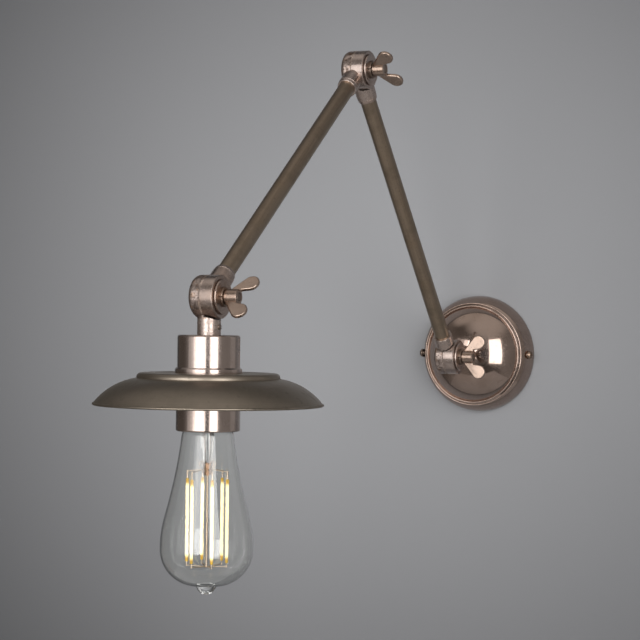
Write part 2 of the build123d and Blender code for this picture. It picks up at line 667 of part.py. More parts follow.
def neck_grub_screw():
    """Small slotted screw in the neck's side that locks the threaded nipple."""
    outer_end = NECK_R + GRUB_PROUD
    screw = rod(GRUB_R, NIPPLE_R + FIT, outer_end)
    screw -= Pos(0, 0, outer_end) * Box(FINE_SLOT_W, 3 * GRUB_R, SLOT_DEPTH)
    return Pos(0, 0, GRUB_DOWN) * along_x(screw)


def holder_nipple():
    """Hollow threaded tube between neck and lampholder."""
    return tube(NIPPLE_R, NIPPLE_BORE_R, NIPPLE_TOP, NIPPLE_END)


def holder_cup():
    """Drawn cup over the lampholder's wiring."""
    cup = rod(CUP_R, CUP_TOP, CUP_BOTTOM)
    cup = fillet(top_edges(cup, CUP_TOP), CUP_ROUND)
    hollow = rod(CUP_R - CUP_SHEET, BRIDGE_TOP, CUP_BOTTOM + CUT)
    hollow = fillet(top_edges(hollow, BRIDGE_TOP), CUP_ROUND - CUP_SHEET)
    return cup - hollow - rod(NIPPLE_R + FIT, CUP_TOP - CUT, BRIDGE_TOP + CUT)


def holder_bridge():
    """Bent strap under the cup's top, with a foot on each side of the insulator."""
    leg_x = BRIDGE_HALF_SPAN - BRIDGE_FOOT / 2
    strap = Pos(0, 0, BRIDGE_TOP + BRIDGE_T / 2) * Box(2 * leg_x + BRIDGE_T, BRIDGE_W, BRIDGE_T)
    for side in (1, -1):
        leg = Pos(side * leg_x, 0, (BRIDGE_TOP + BODY_TOP) / 2)
        strap += leg * Box(BRIDGE_T, BRIDGE_W, BODY_TOP - BRIDGE_TOP)
        foot = Pos(side * BRIDGE_HALF_SPAN, 0, BODY_TOP - BRIDGE_T / 2)
        strap += foot * Box(BRIDGE_FOOT + BRIDGE_T, BRIDGE_W, BRIDGE_T)
        hole = rod(HOLDER_SCREW_R + FIT, BODY_TOP - 2 * BRIDGE_T, BODY_TOP + CUT)
        strap -= Pos(side * HOLDER_SCREW_X, 0, 0) * hole
    return strap - rod(NIPPLE_R + FIT, BRIDGE_TOP - CUT, NIPPLE_NUT_TOP + CUT)


def nipple_nut():
    """Lock nut on the nipple, under the bridge."""
    end = NIPPLE_NUT_TOP + NIPPLE_NUT_H
    return hexagon(NIPPLE_NUT_AF, NIPPLE_NUT_TOP, end) - rod(NIPPLE_R + FIT, NIPPLE_NUT_TOP - CUT, end + CUT)


def shade_flange():
    """Ring that the shade is clamped against from above."""
    ring = rod(FLANGE_R, CUP_BOTTOM, FLANGE_BOTTOM)
    ring = chamfer(top_edges(ring, CUP_BOTTOM), FLANGE_CHAMFER)
    return ring - rod(BODY_NECK_R + LOOSE, CUP_BOTTOM - CUT, FLANGE_BOTTOM + CUT)


def holder_insulator():
    """Moulded insulator: a head in the cup, a threaded neck and a skirt round the shell."""
    skirt_start = THREAD_END + RING_SHEET
    body = rod(BODY_HEAD_R, BODY_TOP, CUP_BOTTOM)
    body += rod(BODY_NECK_R, CUP_BOTTOM - CUT, skirt_start)
    body += rod(BODY_SKIRT_R, skirt_start - CUT, BODY_BOTTOM)
    body -= rod(SHELL_R + FIT, SOCKET_TOP, BODY_BOTTOM + CUT)
    for side in (1, -1):
        hole = rod(HOLDER_SCREW_R + FIT, BODY_TOP - CUT, BODY_TOP + HOLDER_SCREW_DEPTH)
        body -= Pos(side * HOLDER_SCREW_X, 0, 0) * hole
    return body


def holder_screws():
    """Two screws that hold the bridge's feet to the insulator."""
    head_base = BODY_TOP - BRIDGE_T
    head_top = head_base - HOLDER_SCREW_HEAD_H
    screw = rod(HOLDER_SCREW_HEAD_R, head_top, head_base)
    screw -= Pos(0, 0, head_top) * Box(3 * HOLDER_SCREW_HEAD_R, FINE_SLOT_W, SLOT_DEPTH)
    screw += rod(HOLDER_SCREW_R, head_base - FINE_SLOT_W, BODY_TOP + HOLDER_SCREW_DEPTH)
    return [Pos(side * HOLDER_SCREW_X, 0, 0) * screw for side in (1, -1)]


def holder_terminals():
    """Two brass wire terminals on top of the insulator."""
    length, depth, height = HOLDER_TERMINAL
    block = Box(length, depth, height) - Rot(90, 0, 0) * rod(HOLDER_TERMINAL_BORE, -depth, depth)
    return [Pos(0, side * HOLDER_TERMINAL_OUT, BODY_TOP - height / 2) * block for side in (1, -1)]


def screw_shell():
    """Brass screw shell of the lampholder with a turned-in rim round the contact."""
    start = SOCKET_TOP + CONTACT_STRIP[2]
    inner_r = SHELL_R - SHELL_SHEET
    shell = tube(SHELL_R, inner_r, start, start + SHELL_LENGTH)
    return shell + tube(SHELL_R, inner_r - SHELL_LIP, start, start + SHELL_SHEET)


def centre_contact():
    """Springy brass tongue at the socket's bottom."""
    length, width, thick = CONTACT_STRIP
    strip = Pos(0, 0, SOCKET_TOP + thick / 2) * Box(length, width, thick)
    rise = rod(width / 2, SOCKET_TOP, CONTACT_TOP)
    return strip + fillet(top_edges(rise, CONTACT_TOP), thick)


def dish_cap(inset):
    """Solid under the curve from the shade's step to its rim, drawn inwards by the inset."""
    step = (SHADE_TOP_R - inset, STEP_BOTTOM)
    rim = (SHADE_R - inset, SHADE_RIM)
    arc = RadiusArc(step, rim, inset - DISH_R)
    return spin(face_of(arc, Polyline(rim, (0, SHADE_RIM), (0, STEP_BOTTOM), step)))


def shade():
    """Shallow spun shade: flat top, a step, a curved dish and a rolled rim."""
    top = rod(SHADE_TOP_R, FLANGE_BOTTOM, STEP_BOTTOM)
    top = fillet(top_edges(top, FLANGE_BOTTOM), STEP_ROUND)
    inner = rod(SHADE_TOP_R - SHADE_SHEET, SHADE_UNDER, SHADE_RIM)
    inner = fillet(top_edges(inner, SHADE_UNDER), STEP_ROUND - SHADE_SHEET)
    skin = top + dish_cap(0) - (dish_cap(SHADE_SHEET) + inner)
    rim = Pos(SHADE_R - SHADE_RIM_R, SHADE_RIM - SHADE_RIM_SINK) * Circle(SHADE_RIM_R)
    skin += spin(Plane.XZ * rim)
    return skin - rod(BODY_NECK_R + LOOSE, FLANGE_BOTTOM - CUT, SHADE_UNDER + CUT)


def shade_ring():
    """Deep ring that screws on the insulator's neck and holds the shade up."""
    ring = rod(RING_R, SHADE_UNDER, RING_BOTTOM)
    ring = fillet(top_edges(ring, RING_BOTTOM), RING_ROUND)
    ring -= rod(RING_R - RING_SHEET, THREAD_END, RING_BOTTOM + CUT)
    return ring - rod(BODY_NECK_R + FIT, SHADE_UNDER - CUT, THREAD_END + CUT)


# Lamp
def bulb_contact():
    """Solder contact at the cap's tip."""
    return fillet(top_edges(rod(TIP_R, CAP_TIP, VITRITE_TOP), CAP_TIP), TIP_ROUND)


def bulb_insulator():
    """Glass insulator between the tip and the screw shell."""
    small_r = TIP_R + LOOSE
    return spin(outline((0, VITRITE_TOP), (small_r, VITRITE_TOP), (VITRITE_R, CAP_START), (0, CAP_START)))


def bulb_cap():
    """Screw cap with a row of thread ridges."""
    slope = THREAD_ROOT_R - VITRITE_R
    body = rod(THREAD_ROOT_R, CAP_START, CAP_END)
    body = chamfer(top_edges(body, CAP_START), slope)
    ridges = int(CAP_LENGTH / THREAD_PITCH) - 1
    for ridge in range(ridges):
        height = CAP_START + THREAD_PITCH * (ridge + 1)
        body += spin(Plane.XZ * (Pos(THREAD_ROOT_R, height) * Ellipse(THREAD_DEPTH, THREAD_HALF_W)))
    hollow = rod(THREAD_ROOT_R - CAP_SHEET, CAP_START + CAP_SHEET, CAP_END + CUT)
    return body - chamfer(top_edges(hollow, CAP_START + CAP_SHEET), slope)


def flank_point(inset, share):
    """Point on the glass between shoulder and widest level, given as shares of the way."""
    radius = GLASS_SHOULDER_R - inset + (GLASS_R - GLASS_SHOULDER_R) * share[0]
    return (radius, GLASS_SHOULDER + (GLASS_WIDEST - GLASS_SHOULDER) * share[1])


def glass_section(inset):
    """Half section of the lamp's glass, drawn inwards by the inset."""
    neck = GLASS_NECK_R - inset
    shoulder = (GLASS_SHOULDER_R - inset, GLASS_SHOULDER)
    waist = flank_point(inset, GLASS_WAIST_SHARE)
    lower = flank_point(inset, GLASS_FLANK_SHARE)
    widest = (GLASS_R - inset, GLASS_WIDEST)
    corner = GLASS_CORNER_R - inset
    bottom = GLASS_BOTTOM - inset
    rise = Spline((neck, CAP_END), shoulder, tangents=[GLASS_NECK_SLOPE, GLASS_SHOULDER_SLOPE])
    flank = Spline(shoulder, waist, lower, widest, tangents=[GLASS_SHOULDER_SLOPE, (0, 1)])
    belly = EllipticalCenterArc((GLASS_FLAT_R, GLASS_WIDEST), corner, corner, 0, arc_size=90)
    inside = Polyline((GLASS_FLAT_R, bottom), (0, bottom), (0, GLASS_TOP), (neck, GLASS_TOP), (neck, CAP_END))
    return face_of(rise, flank, belly, inside)


def bulb_glass():
    """Pear-shaped glass with a sealing pip at its lower end."""
    hollow = spin(glass_section(GLASS_WALL)) - rod(GLASS_R, 0, GLASS_TOP + GLASS_WALL)
    pip_sphere = (PIP_R**2 + PIP_H**2) / (2 * PIP_H)
    pip = Pos(0, 0, GLASS_BOTTOM + PIP_H - pip_sphere) * Sphere(pip_sphere)
    pip -= rod(GLASS_R, 0, GLASS_BOTTOM - GLASS_WALL / 2)
    return spin(glass_section(0)) - hollow + pip


def bulb_stem():
    """Glass stem inside the neck, up to the crown that carries the filaments."""
    start = GLASS_TOP + GLASS_WALL
    flare_r = GLASS_NECK_R - GLASS_WALL - LOOSE
    side = [(0, start), (flare_r, start), (STEM_GLASS_R, start + STEM_FLARE_LENGTH)]
    return spin(outline(*side, (STEM_GLASS_TIP_R, CROWN_TOP), (0, CROWN_TOP)))


def filament_places():
    """Directions of the filaments round the lamp's axis."""
    return [FILAMENT_TURN + 360 / FILAMENT_COUNT * number for number in range(FILAMENT_COUNT)]


def bulb_filaments():
    """Upright rods that light up."""
    glow = rod(FILAMENT_R, FILAMENT_TOP, FILAMENT_BOTTOM)
    glow = fillet(glow.edges().filter_by(GeomType.CIRCLE), FILAMENT_ROUND)
    return [Rot(0, 0, angle) * Pos(FILAMENT_RING_R, 0, 0) * glow for angle in filament_places()]


def strut(inner_z, outer_z):
    """Straight wire in the XZ plane from the lamp's axis out to the filaments' ring."""
    run = Vector(FILAMENT_RING_R, 0, outer_z - inner_z)
    lean = math.degrees(math.atan2(run.X, run.Z))
    return Pos(0, 0, inner_z) * Rot(0, lean, 0) * rod(WIRE_R, 0, run.length)


def bulb_supports():
    """Crown, mast, and a wire and a pin at both ends of each filament."""
    frame = rod(CROWN_R, CROWN_TOP, CROWN_TOP + CROWN_H) + rod(MAST_R, CROWN_TOP, PINS_BOTTOM + MAST_R)
    wires = strut(CROWN_TOP + CROWN_H / 2, PINS_TOP + PIN_R) + strut(PINS_BOTTOM, PINS_BOTTOM - PIN_R)
    pins = rod(PIN_R, PINS_TOP, FILAMENT_TOP) + rod(PIN_R, FILAMENT_BOTTOM, PINS_BOTTOM)
    branch = wires + Pos(FILAMENT_RING_R, 0, 0) * pins
    for angle in filament_places():
        frame += Rot(0, 0, angle) * branch
    return frame


# Every node, with the frame it is set in
def knuckle_nodes(name, frame, nut_turn):
    """What every knuckle holds besides its two halves."""
    return {
        f"{name}_friction_disc": frame * friction_disc(),
        f"{name}_pivot_screw": frame * pivot_screw(),
        f"{name}_thrust_washer": frame * thrust_washer(),
        f"{name}_spring_washer": frame * spring_washer(),
        f"{name}_wing_nut": frame * wing_nut(nut_turn),
    }


def wall_nodes():
    """Rose, bracket and the fixed half of the wall knuckle."""
    return {
        "wall_bracket": ON_WALL * wall_bracket(),
        "rose_dome": ON_WALL * rose_dome(),
        "rose_screws": [ON_WALL * screw for screw in rose_screws()],
        "stem_washer": ON_WALL * stem_washer(),
        "stem_nut": ON_WALL * stem_nut(),
        "terminal_block": ON_WALL * terminal_block(),
        "terminal_screws": [ON_WALL * way for way in terminal_screws()],
        "earth_screw": ON_WALL * earth_screw(),
        "wall_stem_collar": WALL_TO_ROSE * wall_stem_collar(),
        "wall_knuckle_base": WALL_TO_ROSE * wall_knuckle_base(),
    }


def arm_nodes():
    """Both arms with the knuckle halves and ferrules at their ends."""
    return {
        "lower_arm_wall_knuckle": LOWER_FROM_WALL * arm_knuckle(-1, BOSS_END),
        "lower_arm_tube": LOWER_FROM_WALL * arm_tube(BOSS_END, ARM_LENGTH - FERRULE_SEAT),
        "lower_arm_ferrule": LOWER_FROM_ELBOW * ferrule(),
        "lower_arm_elbow_knuckle": LOWER_FROM_ELBOW * arm_knuckle(-1, FERRULE_SEAT),
        "upper_arm_elbow_knuckle": UPPER_FROM_ELBOW * arm_knuckle(1, FERRULE_SEAT),
        "upper_arm_elbow_ferrule": UPPER_FROM_ELBOW * ferrule(),
        "upper_arm_tube": UPPER_FROM_ELBOW * arm_tube(FERRULE_SEAT, ARM_LENGTH - FERRULE_SEAT),
        "upper_arm_head_ferrule": UPPER_FROM_HEAD * ferrule(),
        "upper_arm_head_knuckle": UPPER_FROM_HEAD * arm_knuckle(1, FERRULE_SEAT),
    }


def lamp_head_nodes():
    """Everything that hangs from the head knuckle, and the lamp in it."""
    makers = [head_knuckle, neck_grub_screw, holder_nipple, nipple_nut, holder_cup, holder_bridge, shade_flange,
              shade, shade_ring, holder_insulator, screw_shell, centre_contact, bulb_contact, bulb_insulator,
              bulb_cap, bulb_glass, bulb_stem, bulb_supports]
    nodes = {maker.__name__: NECK_FRAME * maker() for maker in makers}
    for maker in (holder_screws, holder_terminals, bulb_filaments):
        nodes[maker.__name__] = [NECK_FRAME * solid for solid in maker()]
    return nodes


def main():
    """Make every node and write it to its own file."""
    os.makedirs("parts", exist_ok=True)
    nodes = wall_nodes() | arm_nodes() | lamp_head_nodes()
    nodes |= knuckle_nodes("wall", Pos(*WALL_PIVOT), WALL_NUT_TURN)
    nodes |= knuckle_nodes("elbow", Pos(*ELBOW_PIVOT), ELBOW_NUT_TURN)
    nodes |= knuckle_nodes("head", HEAD_FRAME, HEAD_NUT_TURN)
    for name, shape in nodes.items():
        if isinstance(shape, list):
            shape = Compound(children=shape)
        export_step(shape, f"parts/{name}.step")
    print(len(nodes), "nodes")


main()
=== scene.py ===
"""Dresses the adjustable wall light: finishes for every solid, fine detail meshes, studio and camera."""

import json
import logging
import math
from dataclasses import dataclass, field
from enum import Enum

import bmesh
import bpy
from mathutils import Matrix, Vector


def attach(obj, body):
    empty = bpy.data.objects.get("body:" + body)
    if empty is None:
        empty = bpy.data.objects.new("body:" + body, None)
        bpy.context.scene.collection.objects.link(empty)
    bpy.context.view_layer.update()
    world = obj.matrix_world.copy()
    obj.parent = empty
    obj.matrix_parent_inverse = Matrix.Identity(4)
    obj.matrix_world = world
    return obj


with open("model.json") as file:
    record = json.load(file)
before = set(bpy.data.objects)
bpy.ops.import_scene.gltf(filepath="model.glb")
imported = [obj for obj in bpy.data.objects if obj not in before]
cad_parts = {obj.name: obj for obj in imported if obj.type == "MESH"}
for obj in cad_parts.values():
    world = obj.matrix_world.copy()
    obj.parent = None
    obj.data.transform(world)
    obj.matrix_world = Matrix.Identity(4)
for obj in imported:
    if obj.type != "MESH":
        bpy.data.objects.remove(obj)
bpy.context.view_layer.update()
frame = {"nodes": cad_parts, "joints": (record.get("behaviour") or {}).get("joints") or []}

LOG = logging.getLogger("wall_light")

Colour = tuple[float, float, float]
ORIGIN = Vector()
UNTURNED = (0.0, 0.0, 0.0)


class Grain(Enum):
    """Which way the brushing of a metal piece runs."""

    UPRIGHT = "upright"
    LOWER_ARM = "lower arm"
    UPPER_ARM = "upper arm"
    TURNED_ON_LAMP_AXIS = "turned on the lamp's axis"
    TURNED_ON_WALL_AXIS = "turned on the wall's axis"


def joint_point(name: str) -> Vector:
    """Rest position of a hinge.

    Args:
        name: The joint's name.

    Returns:
        The point its axis goes through, in metres.
    """
    return Vector(next(j["pos_m"] for j in frame["joints"] if j["name"] == name))


def srgb(red: float, green: float, blue: float) -> Colour:
    """Linear colour from screen values.

    Args:
        red: Red, 0 to 255.
        green: Green, 0 to 255.
        blue: Blue, 0 to 255.

    Returns:
        The same colour with linear components.
    """
    def one(value: float) -> float:
        """Linear value of one channel."""
        share = value / 255
        return share / 12.92 if share <= 0.04045 else ((share + 0.055) / 1.055) ** 2.4
    return one(red), one(green), one(blue)


@dataclass(frozen=True)
class Layout:
    """Points and directions that the detail pieces are placed by, all read from the frame."""

    wall: Vector = field(default_factory=lambda: joint_point("wall_pivot"))
    elbow: Vector = field(default_factory=lambda: joint_point("elbow_pivot"))
    head: Vector = field(default_factory=lambda: joint_point("head_pivot"))

    @property
    def lamp_axis(self) -> Vector:
        """Direction in which the lamp points, away from the head pivot."""
        return Vector(next(j["axis"] for j in frame["joints"] if j["name"] == "bulb_slide")).normalized()

    def down_lamp(self, depth: float) -> Vector:
        """Point on the lamp's axis.

        Args:
            depth: Distance below the head pivot, in metres.

        Returns:
            The point, in metres.
        """
        return self.head + self.lamp_axis * depth

    def lean(self, low: Vector, high: Vector) -> float:
        """Angle about X that turns +Z towards the line between two points.

        Args:
            low: The line's lower end.
            high: The line's upper end.

        Returns:
            The angle, in radians.
        """
        run = high - low
        return math.atan2(-run.y, run.z)


LAYOUT = Layout()


class NodeTree:
    """Small helper that adds and links shader nodes."""

    def __init__(self, tree: bpy.types.NodeTree) -> None:
        """Starts on an empty tree.

        Args:
            tree: The tree to fill.
        """
        self.tree = tree
        tree.nodes.clear()

    def add(self, kind: str, values: dict | None = None, **settings: object) -> bpy.types.Node:
        """Adds a node.

        Args:
            kind: The node's type, without its ShaderNode prefix.
            values: Socket values by name or number.
            settings: Attributes of the node.

        Returns:
            The new node.
        """
        full = kind if kind.startswith("Node") else "ShaderNode" + kind
        node = self.tree.nodes.new(full)
        for key, value in settings.items():
            setattr(node, key, value)
        for key, value in (values or {}).items():
            node.inputs[key].default_value = value
        return node

    def link(self, source: bpy.types.NodeSocket, target: bpy.types.NodeSocket) -> None:
        """Joins an output to an input."""
        self.tree.links.new(source, target)

    def feed(self, value: object, target: bpy.types.NodeSocket) -> None:
        """Gives an input its value.

        Args:
            value: A socket to link, a colour or a number.
            target: The input.
        """
        if isinstance(value, bpy.types.NodeSocket):
            self.link(value, target)
        else:
            target.default_value = (*value, 1.0) if isinstance(value, tuple) else value

    def maths(self, operation: str, first: object, second: object = 0.0) -> bpy.types.NodeSocket:
        """Adds a Math node.

        Args:
            operation: The operation's name.
            first: Its first value or socket.
            second: Its second value or socket.

        Returns:
            The result's socket.
        """
        node = self.add("Math", operation=operation)
        self.feed(first, node.inputs[0])
        self.feed(second, node.inputs[1])
        return node.outputs[0]

    def vector(self, operation: str, first: bpy.types.NodeSocket, second: object = None) -> bpy.types.NodeSocket:
        """Adds a Vector Math node.

        Args:
            operation: The operation's name.
            first: Its first vector's socket.
            second: Its second vector, a value or a socket, if it takes one.

        Returns:
            The result's socket: a number for a length or a dot product, otherwise a vector.
        """
        node = self.add("VectorMath", operation=operation)
        self.link(first, node.inputs[0])
        if isinstance(second, bpy.types.NodeSocket):
            self.link(second, node.inputs[1])
        elif second is not None:
            node.inputs[1].default_value = second
        return node.outputs["Value" if operation in ("LENGTH", "DOT_PRODUCT") else "Vector"]

    def noise(self, vector: bpy.types.NodeSocket, scale: object, detail: float,
              roughness: float = 0.5) -> bpy.types.NodeSocket:
        """Adds cloudy noise.

        Args:
            vector: The coordinates' socket.
            scale: Its scale, a value or a socket.
            detail: How many finer layers it has.
            roughness: How strong the finer layers are.

        Returns:
            The noise's socket.
        """
        node = self.add("TexNoise", {"Detail": detail, "Roughness": roughness})
        self.link(vector, node.inputs["Vector"])
        self.feed(scale, node.inputs["Scale"])
        return node.outputs["Fac"]

    def round_axis(self, vector: bpy.types.NodeSocket) -> tuple[bpy.types.NodeSocket, bpy.types.NodeSocket]:
        """Splits coordinates by their own Z axis.

        Args:
            vector: The coordinates' socket.

        Returns:
            Sockets of the distance from the axis and of the level along it.
        """
        parts = self.add("SeparateXYZ")
        self.link(vector, parts.inputs[0])
        flat = self.add("CombineXYZ")
        for name in "XY":
            self.link(parts.outputs[name], flat.inputs[name])
        return self.vector("LENGTH", flat.outputs[0]), parts.outputs["Z"]

    def mix(self, factor: object, first: object, second: object) -> bpy.types.NodeSocket:
        """Mixes two colours.

        Args:
            factor: Share of the second colour, a value or a socket.
            first: First colour or socket.
            second: Second colour or socket.

        Returns:
            The mixed colour's socket.
        """
        node = self.add("Mix", data_type="RGBA")
        for place, value in ((0, factor), (6, first), (7, second)):
            self.feed(value, node.inputs[place])
        return node.outputs[2]

    def span(self, value: bpy.types.NodeSocket, low: float, high: float) -> bpy.types.NodeSocket:
        """Smooth step of a value between two limits.

        Args:
            value: The value's socket.
            low: Where the step starts.
            high: Where the step ends.

        Returns:
            A socket that goes from 0 to 1.
        """
        node = self.add("MapRange", {"From Min": low, "From Max": high}, interpolation_type="SMOOTHSTEP")
        self.link(value, node.inputs["Value"])
        return node.outputs["Result"]


class EffectGroups:
    """Shader node groups shared by the finishes."""

    def __init__(self) -> None:
        """Builds each group once."""
        self.grain = self.build_grain()
        self.patina = self.build_patina()
        self.rings = self.build_rings()
        self.wear_and_highlight = self.build_wear_and_highlight()

    @staticmethod
    def start(name: str, inputs: dict[str, tuple[str, object]],
              outputs: dict[str, str]) -> tuple[NodeTree, bpy.types.Node, bpy.types.Node]:
        """Makes an empty group with its sockets.

        Args:
            name: The group's name.
            inputs: Socket type and default by input name.
            outputs: Socket type by output name.

        Returns:
            The tree helper, the group's input node and its output node.
        """
        tree = bpy.data.node_groups.new(name, "ShaderNodeTree")
        for socket, (kind, default) in inputs.items():
            made = tree.interface.new_socket(socket, in_out="INPUT", socket_type=kind)
            if default is not None:
                made.default_value = default
        for socket, kind in outputs.items():
            tree.interface.new_socket(socket, in_out="OUTPUT", socket_type=kind)
        helper = NodeTree(tree)
        return helper, helper.add("NodeGroupInput"), helper.add("NodeGroupOutput")

    def build_grain(self) -> bpy.types.NodeTree:
        """Fine brushed streaks along local Z.

        Returns:
            The group, with Streaks and Height outputs.
        """
        tree, given, out = self.start(
            "brushed_grain",
            {"Vector": ("NodeSocketVector", None), "Fineness": ("NodeSocketFloat", 2600.0),
             "Length": ("NodeSocketFloat", 40.0)},
            {"Streaks": "NodeSocketFloat", "Height": "NodeSocketFloat"},
        )
        scale = tree.add("CombineXYZ")
        for place, name in enumerate(("Fineness", "Fineness", "Length")):
            tree.link(given.outputs[name], scale.inputs[place])
        stretched = tree.vector("MULTIPLY", given.outputs["Vector"], scale.outputs[0])
        fine = tree.noise(stretched, 1.0, 3.0, 0.6)
        broad = tree.noise(stretched, 0.22, 2.0)
        both = tree.maths("ADD", tree.maths("MULTIPLY", fine, 0.6), tree.maths("MULTIPLY", broad, 0.4))
        tree.link(tree.span(both, 0.3, 0.7), out.inputs["Streaks"])
        tree.link(both, out.inputs["Height"])
        return tree.tree

    def build_patina(self) -> bpy.types.NodeTree:
        """Blotches of a darker and a warmer tone over an aged plated colour.

        Returns:
            The group, with Colour and Mask outputs.
        """
        tree, given, out = self.start(
            "aged_patina",
            {"Vector": ("NodeSocketVector", None), "Plate": ("NodeSocketColor", (0.3, 0.2, 0.15, 1.0)),
             "Dark": ("NodeSocketColor", (0.1, 0.08, 0.06, 1.0)), "Warm": ("NodeSocketColor", (0.4, 0.22, 0.12, 1.0)),
             "Amount": ("NodeSocketFloat", 0.4), "Scale": ("NodeSocketFloat", 60.0)},
            {"Colour": "NodeSocketColor", "Mask": "NodeSocketFloat"},
        )
        blotch, speck, warm = (
            tree.noise(given.outputs["Vector"], tree.maths("MULTIPLY", given.outputs["Scale"], times), detail, rough)
            for times, detail, rough in ((1.0, 5.0, 0.62), (9.0, 2.0, 0.5), (0.45, 3.0, 0.5)))
        cloud = tree.span(blotch, 0.42, 0.68)
        dots = tree.span(speck, 0.58, 0.72)
        mask = tree.maths("MAXIMUM", cloud, tree.maths("MULTIPLY", dots, 0.8))
        amount = tree.maths("MULTIPLY", mask, given.outputs["Amount"])
        warm_amount = tree.maths("MULTIPLY", tree.span(warm, 0.5, 0.75), given.outputs["Amount"])
        base = tree.mix(warm_amount, given.outputs["Plate"], given.outputs["Warm"])
        tree.link(tree.mix(amount, base, given.outputs["Dark"]), out.inputs["Colour"])
        tree.link(mask, out.inputs["Mask"])
        return tree.tree

    def build_rings(self) -> bpy.types.NodeTree:
        """Fine rings left by turning or spinning, about local Z.

        Returns:
            The group, with Streaks and Height outputs.
        """
        tree, given, out = self.start(
            "turned_rings",
            {"Vector": ("NodeSocketVector", None), "Fineness": ("NodeSocketFloat", 2200.0)},
            {"Streaks": "NodeSocketFloat", "Height": "NodeSocketFloat"},
        )
        line = tree.add("CombineXYZ")
        for name, measure in zip("XY", tree.round_axis(given.outputs["Vector"])):
            tree.link(tree.maths("MULTIPLY", measure, given.outputs["Fineness"]), line.inputs[name])
        noise = tree.noise(line.outputs[0], 1.0, 3.0, 0.65)
        tree.link(tree.span(noise, 0.32, 0.68), out.inputs["Streaks"])
        tree.link(noise, out.inputs["Height"])
        return tree.tree

    def build_wear_and_highlight(self) -> bpy.types.NodeTree:
        """Mask of rubbed outer edges: partly real wear, partly a painted highlight along rims.

        Returns:
            The group, with one Mask output.
        """
        tree, given, out = self.start(
            "edge_wear_and_highlight",
            {"Vector": ("NodeSocketVector", None), "Width": ("NodeSocketFloat", 0.0006)},
            {"Mask": "NodeSocketFloat"},
        )
        geometry = tree.add("NewGeometry")
        bevel = tree.add("Bevel", samples=4)
        tree.link(given.outputs["Width"], bevel.inputs["Radius"])
        turn = tree.vector("DOT_PRODUCT", geometry.outputs["Normal"], bevel.outputs["Normal"])
        edge = tree.span(tree.maths("SUBTRACT", 1.0, turn), 0.01, 0.12)
        patchy = tree.span(tree.noise(given.outputs["Vector"], 900.0, 2.0), 0.35, 0.6)
        tree.link(tree.maths("MULTIPLY", edge, patchy), out.inputs["Mask"])
        return tree.tree


GROUPS = EffectGroups()


class Finish:
    """Common start of every finish."""

    def begin(self, name: str) -> tuple[bpy.types.Material, NodeTree, bpy.types.Node]:
        """Makes a material with a Principled shader.

        Args:
            name: The material's name.

        Returns:
            The material, its tree helper and the shader.
        """
        material = bpy.data.materials.new(name)
        material.use_nodes = True
        tree = NodeTree(material.node_tree)
        shader = tree.add("BsdfPrincipled")
        out = tree.add("OutputMaterial")
        tree.link(shader.outputs[0], out.inputs["Surface"])
        return material, tree, shader

    @staticmethod
    def placed(tree: NodeTree, centre: Vector = ORIGIN,
               turn: tuple[float, float, float] = UNTURNED) -> bpy.types.NodeSocket:
        """Object coordinates counted from a point along a turned frame.

        Args:
            tree: The material's tree.
            centre: Origin of the frame.
            turn: Euler angles that bring the frame's axis onto Z.

        Returns:
            The coordinate socket.
        """
        mapping = tree.add("Mapping", {"Rotation": turn})
        tree.link(tree.vector("SUBTRACT", tree.add("TexCoord").outputs["Object"], centre), mapping.inputs["Vector"])
        return mapping.outputs[0]

    @staticmethod
    def bump(tree: NodeTree, shader: bpy.types.Node, height: bpy.types.NodeSocket, strength: float,
             depth: float) -> None:
        """Feeds a height into the shader's normal.

        Args:
            tree: The material's tree.
            shader: The Principled shader.
            height: The height's socket.
            strength: Strength of the bump.
            depth: Full depth, in metres.
        """
        node = tree.add("Bump", {"Strength": strength, "Distance": depth})
        tree.link(height, node.inputs["Height"])
        tree.link(node.outputs[0], shader.inputs["Normal"])


